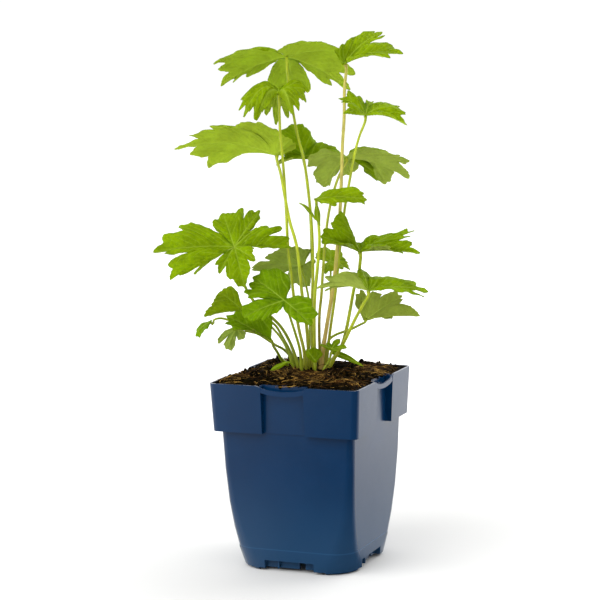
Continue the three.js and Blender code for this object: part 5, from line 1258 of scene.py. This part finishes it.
def rounded_square(half, corner):
    """Evenly spaced points round a square of the given half width with rounded corners: walks the outline by
    its length, straight on the sides and by angle in the corners."""
    flat = 2 * (half - corner)
    quarter = flat + corner * math.pi / 2
    way = np.linspace(0, 4 * quarter, SOIL_COLUMNS, endpoint=False)
    side = np.floor(way / quarter)
    rest = way - side * quarter
    bend = np.clip((rest - flat) / corner, 0, math.pi / 2)
    x = np.where(rest < flat, half, half - corner + corner * np.cos(bend))
    y = np.minimum(rest, flat) - flat / 2 + corner * np.sin(bend)
    turn = side * math.pi / 2
    return np.stack([x * np.cos(turn) - y * np.sin(turn), x * np.sin(turn) + y * np.cos(turn)], -1)


def body_outline(z, inset):
    """Outline inside the pot's tapered body at a height: the half width sinks towards the foot evenly and
    as a power of the depth below the collar, and the corners widen as a higher power of it."""
    down = max(1 - z / COLLAR_FOOT, 0)
    half = BODY_TOP_HALF - BODY_SLOPE * down - BODY_CURL * down ** BODY_CURL_POWER
    corner = TOP_CORNER + FOOT_CORNER_GAIN * down ** CORNER_POWER
    return rounded_square(half - inset, corner - inset)


def collar_outline(z, inset):
    """Outline inside the collar at a height, pushed in where a label pocket stands in each side."""
    rise = (z - COLLAR_FOOT) / (RIM_HEIGHT - COLLAR_FOOT)
    half = COLLAR_FOOT_HALF + (RIM_HALF - COLLAR_FOOT_HALF) * rise
    outline = rounded_square(half - inset, COLLAR_CORNER - inset)
    beside = np.abs(outline[:, ::-1]) < PAD_HALF
    return np.where(beside, np.clip(outline, -PAD_INNER, PAD_INNER), outline)


def soil_body(settings):
    """Closed body of peat: outlines follow the inside of the pot up to the rim, and over the top they
    shrink to the middle, where the height is the crumbly surface's."""
    inset = WALL + CLEARANCE + SOIL_GAP
    ledge = COLLAR_FOOT + WALL + CLEARANCE
    rings = [(body_outline(z, inset), z) for z in [*BODY_LEVELS, ledge - LEDGE_STEP]]
    rings += [(collar_outline(z, inset), z) for z in [ledge, *COLLAR_LEVELS]]
    walls = np.stack([np.column_stack([outline, np.full(SOIL_COLUMNS, z)]) for outline, z in rings])
    shares = np.linspace(1, SOIL_LEAST_RING, SOIL_ROWS)[:, None]
    x, y = collar_outline(SOIL_EDGE, inset).T[:, None] * shares
    top = np.stack([x, y, rough_soil(x, y, settings)], -1)
    body = np.concatenate([walls, top])
    ends = [[0, 0, BODY_LEVELS[0]], [0, 0, float(top[-1, :, 2].mean())]]
    return np.concatenate([body.reshape(-1, 3), ends]), skin_faces(len(body), SOIL_COLUMNS)


def fibres(count, seed, longest, settings):
    """Thin three-sided fibres lying on the peat: each runs from a random place in a random direction as a
    parabola bent sideways and arched up, and ends in points. A DRIFT_SHARE of them are longer and lie
    nearly parallel in drifts, spread as bells about the places in DRIFTS."""
    draw = np.random.default_rng(seed)
    room = RIM_HALF - WALL - FIBRE_ROOM
    start = draw.uniform(-room, room, (count, 2))
    heading = draw.uniform(0, 2 * math.pi, count)
    size = longest * draw.uniform(*FIBRE_LENGTHS, count) ** FIBRE_POWER
    drift = np.array(DRIFTS)[draw.integers(0, len(DRIFTS), count)]
    drifted = draw.uniform(0, 1, count) < DRIFT_SHARE
    scatter = drift[:, :2] + draw.normal(0, 1, (count, 2)) * DRIFT_SPREAD
    start = np.where(drifted[:, None], np.clip(scatter, -room, room), start)
    heading = np.where(drifted, drift[:, 2] + draw.normal(0, DRIFT_TURN, count), heading)[:, None]
    size = np.where(drifted, longest * draw.uniform(*DRIFT_LENGTHS, count), size)
    bend = draw.normal(0, FIBRE_BEND, count) * size * np.where(drifted, DRIFT_BEND, 1)
    lift = np.abs(draw.normal(0, FIBRE_LIFT, count)) * size
    radius = draw.uniform(*FIBRE_RADII, count)[:, None]
    t = np.linspace(0, 1, FIBRE_POINTS)
    arch = 4 * t * (1 - t)
    along, aside = (t - 0.5) * size[:, None], bend[:, None] * arch
    limit = RIM_HALF - WALL - FIBRE_EDGE
    x = np.clip(start[:, :1] + along * np.cos(heading) - aside * np.sin(heading), -limit, limit)
    y = np.clip(start[:, 1:] + along * np.sin(heading) + aside * np.cos(heading), -limit, limit)
    z = rough_soil(x, y, settings)
    z = z.mean(1, keepdims=True) * FIBRE_BRIDGE + z * (1 - FIBRE_BRIDGE) + FIBRE_GAP + lift[:, None] * arch
    line = np.stack([x, y, z], -1)
    forward = unit(np.gradient(line, axis=1))
    first = unit(np.cross(forward, [0, 0, 1.0]))
    taper = radius * (0.25 + 0.75 * np.sin(math.pi * np.clip(t, 0.06, 0.94)) ** 0.5)
    angle = circle(FIBRE_SIDES)[:, None]
    ring = first[:, :, None] * np.cos(angle) + np.cross(first, forward)[:, :, None] * np.sin(angle)
    body = line[:, :, None] + ring * taper[..., None, None]
    grid = np.arange(body.size // 3).reshape(body.shape[:3])
    return body.reshape(-1, 3), [ring_faces(grid), grid[:, 0, ::-1], grid[:, -1]]


def lumps(count, seed, settings):
    """Loose lumps on the peat: seven-sided balls of three rings, each squeezed and dented at random."""
    draw = np.random.default_rng(seed)
    room = RIM_HALF - WALL - LUMP_ROOM
    centre = draw.uniform(-room, room, (count, 2))
    size = LUMP_SIZES[0] + LUMP_SIZES[1] * draw.uniform(0, 1, count) ** 3
    squeeze = draw.uniform(*LUMP_SQUEEZE, (count, 1, 1, 3))
    polar = np.array(LUMP_RINGS)[:, None]
    turn = circle(LUMP_SIDES)
    ball = np.stack([np.sin(polar) * np.cos(turn), np.sin(polar) * np.sin(turn),
                     np.cos(polar) * np.ones(LUMP_SIDES)], -1)
    dent = draw.uniform(*LUMP_DENT, (count, *ball.shape[:2], 1))
    body = ball * dent * squeeze * size[:, None, None, None]
    ground = rough_soil(centre[:, 0], centre[:, 1], settings)
    body = body + np.column_stack([centre, ground + size * LUMP_RISE])[:, None, None]
    grid = np.arange(body.size // 3).reshape(body.shape[:3])
    return body.reshape(-1, 3), [np.roll(ring_faces(grid)[:, ::-1], 1, 1), grid[:, 0], grid[:, -1, ::-1]]


class DELPHINIUM_OT_studio(bpy.types.Operator):
    """Makes the pale floor, the soft lights and the camera"""
    bl_idname = "delphinium.studio"
    bl_label = "Studio"

    def execute(self, context):
        settings = context.scene.delphinium.studio
        objects = context.scene.collection.objects
        mesh = bpy.data.meshes.new("floor")
        corners = [(x * FLOOR_REACH, y * FLOOR_REACH, 0) for x, y in ((-1, -1), (1, -1), (1, 1), (-1, 1))]
        mesh.from_pydata(corners, [], [(0, 1, 2, 3)])
        mesh.materials.append(floor_material(settings.floor))
        floor = bpy.data.objects.new("floor", mesh)
        objects.link(floor)
        world = bpy.data.worlds.new("studio_surroundings")
        world.use_nodes = True
        tree = world.node_tree
        direction = add_node(tree, "TexCoord")["Generated"]
        strength = mirrored(tree, direction, settings.world, settings.dark, settings.bright)
        tree.links.new(strength, tree.nodes["Background"].inputs["Strength"])
        tree.nodes["Background"].inputs["Color"].default_value = (1, 1, 1, 1)
        context.scene.world = world
        context.scene.view_settings.view_transform = "Standard"
        for name, spot, size in LIGHTS:
            light = bpy.data.lights.new(name + "_light", "AREA")
            light.shape = "SQUARE"
            light.size = size
            light.energy = getattr(settings, name)
            lamp = bpy.data.objects.new(name + "_light", light)
            lamp.location = spot
            lamp.rotation_euler = (Vector(LIGHTS_AIM) - lamp.location).to_track_quat("-Z", "Y").to_euler()
            objects.link(lamp)
        camera = bpy.data.objects.new("camera", bpy.data.cameras.new("camera"))
        objects.link(camera)
        a, e, roll = CAMERA_AZIMUTH, CAMERA_ELEVATION, CAMERA_ROLL
        back = Vector((math.sin(a) * math.cos(e), -math.cos(a) * math.cos(e), math.sin(e)))
        right = Vector((math.cos(a), math.sin(a), 0))
        up = back.cross(right)
        rolled_right = right * math.cos(roll) + up * math.sin(roll)
        rolled_up = up * math.cos(roll) - right * math.sin(roll)
        turn = Matrix((rolled_right, rolled_up, back)).transposed()
        camera.matrix_world = Matrix.Translation(CAMERA_PLACE) @ turn.to_4x4()
        camera.data.lens = CAMERA_LENS
        camera.data.sensor_width = CAMERA_SENSOR
        camera.data.clip_start, camera.data.clip_end = CAMERA_CLIP
        context.scene.camera = camera
        return {"FINISHED"}


class DELPHINIUM_OT_pot(bpy.types.Operator):
    """Rounds the edges of the moulded pot and gives it its plastic"""
    bl_idname = "delphinium.pot"
    bl_label = "Pot"

    def execute(self, context):
        settings = context.scene.delphinium.pot
        mesh = frame["nodes"]["pot"].data.copy()
        mesh.name = "moulded_pot"
        shell = bmesh.new()
        shell.from_mesh(mesh)
        bmesh.ops.remove_doubles(shell, verts=shell.verts, dist=WELD_DISTANCE * MM)
        shell.to_mesh(mesh)
        shell.free()
        mesh.materials.clear()
        mesh.materials.append(pot_material(settings))
        mesh.shade_smooth()
        piece = bpy.data.objects.new("moulded_pot", mesh)
        context.scene.collection.objects.link(piece)
        bevel = piece.modifiers.new("edge", "BEVEL")
        bevel.width = settings.edge
        bevel.segments = 2
        bevel.limit_method = "ANGLE"
        bevel.angle_limit = EDGE_ANGLE
        weighted = piece.modifiers.new("shading", "WEIGHTED_NORMAL")
        weighted.keep_sharp = True
        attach(piece, "root")
        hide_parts("pot")
        return {"FINISHED"}


class DELPHINIUM_OT_soil(bpy.types.Operator):
    """Makes the crumbly peat with its fibres and loose lumps, and finishes the crown in it"""
    bl_idname = "delphinium.soil"
    bl_label = "Soil"

    def execute(self, context):
        settings = context.scene.delphinium.soil
        peat = peat_material(settings)
        add_piece("peat_filling", *soil_body(settings), "peat", ("soil",), [peat])
        for tint, fifths, seed, longest in FIBRES:
            fibre = fibre_material("split_fibre_" + tint, getattr(settings, tint))
            points, faces = fibres(settings.fibre_count // 5 * fifths, seed, longest, settings)
            add_piece("fibres_" + tint, points, faces, "peat", (), [fibre])
        add_piece("peat_lumps", *lumps(settings.lump_count, LUMP_SEED, settings), "peat", (), [peat])
        slots = frame["nodes"]["rootstock"].data.materials
        slots.clear()
        slots.append(root_material())
        return {"FINISHED"}


class DELPHINIUM_OT_stalks(bpy.types.Operator):
    """Makes the leaf stalks and their hairs"""
    bl_idname = "delphinium.stalks"
    bl_label = "Stalks"

    def execute(self, context):
        settings = context.scene.delphinium.stalks
        hair_points, hair_faces, before = [], [], 0
        for number, leaf in enumerate(LEAVES):
            points, faces, fields = stalk(leaf, settings)
            add_piece(leaf["name"] + "_petiole", turned(points), faces, "stalk_" + leaf["stalk"],
                      (leaf["name"] + "_stalk",), [stalk_material(leaf["stalk"], settings)], None, fields)
            count = int(fields["unrolled"][-1, 2] / settings.hair_spacing)
            block, triangles = hairs(points, count, HAIR_SEED + number, settings)
            hair_points.append(turned(block))
            hair_faces.append(triangles + before)
            before += len(block)
        add_piece("stalk_hairs", np.concatenate(hair_points), hair_faces, "stalk_yellow", (),
                  [hair_material(linear(HAIR_TINT))])
        return {"FINISHED"}


class DELPHINIUM_OT_blades(bpy.types.Operator):
    """Makes the lobed leaf blades with their veins"""
    bl_idname = "delphinium.blades"
    bl_label = "Blades"

    def execute(self, context):
        settings = context.scene.delphinium.blades
        for leaf in LEAVES:
            sides = [leaf_material(leaf["leaf"], side, settings) for side in ("upper", "under")]
            points, faces, face_sides, fields = blade(leaf, settings)
            add_piece(leaf["name"] + "_lamina", turned(points), faces, "leaf_" + leaf["leaf"],
                      (leaf["name"] + "_blade",), sides, face_sides, fields)
        return {"FINISHED"}


class DELPHINIUM_OT_straps(bpy.types.Operator):
    """Makes the narrow young leaves at the soil and the bracts on the shoot"""
    bl_idname = "delphinium.straps"
    bl_label = "Narrow leaves and bracts"

    def execute(self, context):
        settings = context.scene.delphinium.blades
        for entry in STRAPS:
            points, faces, fields = strap(entry)
            add_piece(entry["name"] + "_lamina", turned(points), faces, "leaf_" + entry["leaf"],
                      (entry["name"],), [leaf_material(entry["leaf"], "upper", settings)], None, fields)
        return {"FINISHED"}


MAKERS = [DELPHINIUM_OT_studio, DELPHINIUM_OT_pot, DELPHINIUM_OT_soil, DELPHINIUM_OT_stalks,
          DELPHINIUM_OT_blades, DELPHINIUM_OT_straps]


class DELPHINIUM_PT_panel(bpy.types.Panel):
    """Lists what the add-on makes and its settings"""
    bl_idname = "DELPHINIUM_PT_panel"
    bl_label = "Delphinium"
    bl_space_type = "VIEW_3D"
    bl_region_type = "UI"
    bl_category = "Delphinium"

    def draw(self, context):
        settings = context.scene.delphinium
        for maker in MAKERS:
            self.layout.operator(maker.bl_idname)
        for group in (settings.blades, settings.stalks, settings.soil, settings.pot, settings.studio):
            box = self.layout.box()
            for key in group.__annotations__:
                box.prop(group, key)


CLASSES = [BladeSettings, StalkSettings, SoilSettings, PotSettings, StudioSettings, DelphiniumSettings,
           *MAKERS, DELPHINIUM_PT_panel]


def register():
    for item in CLASSES:
        bpy.utils.register_class(item)
    bpy.types.Scene.delphinium = bpy.props.PointerProperty(type=DelphiniumSettings)


def unregister():
    del bpy.types.Scene.delphinium
    for item in reversed(CLASSES):
        bpy.utils.unregister_class(item)


def main():
    register()
    bpy.ops.delphinium.studio()
    bpy.ops.delphinium.pot()
    bpy.ops.delphinium.soil()
    bpy.ops.delphinium.stalks()
    bpy.ops.delphinium.blades()
    bpy.ops.delphinium.straps()
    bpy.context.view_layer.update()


if __name__ == "__main__":
    main()
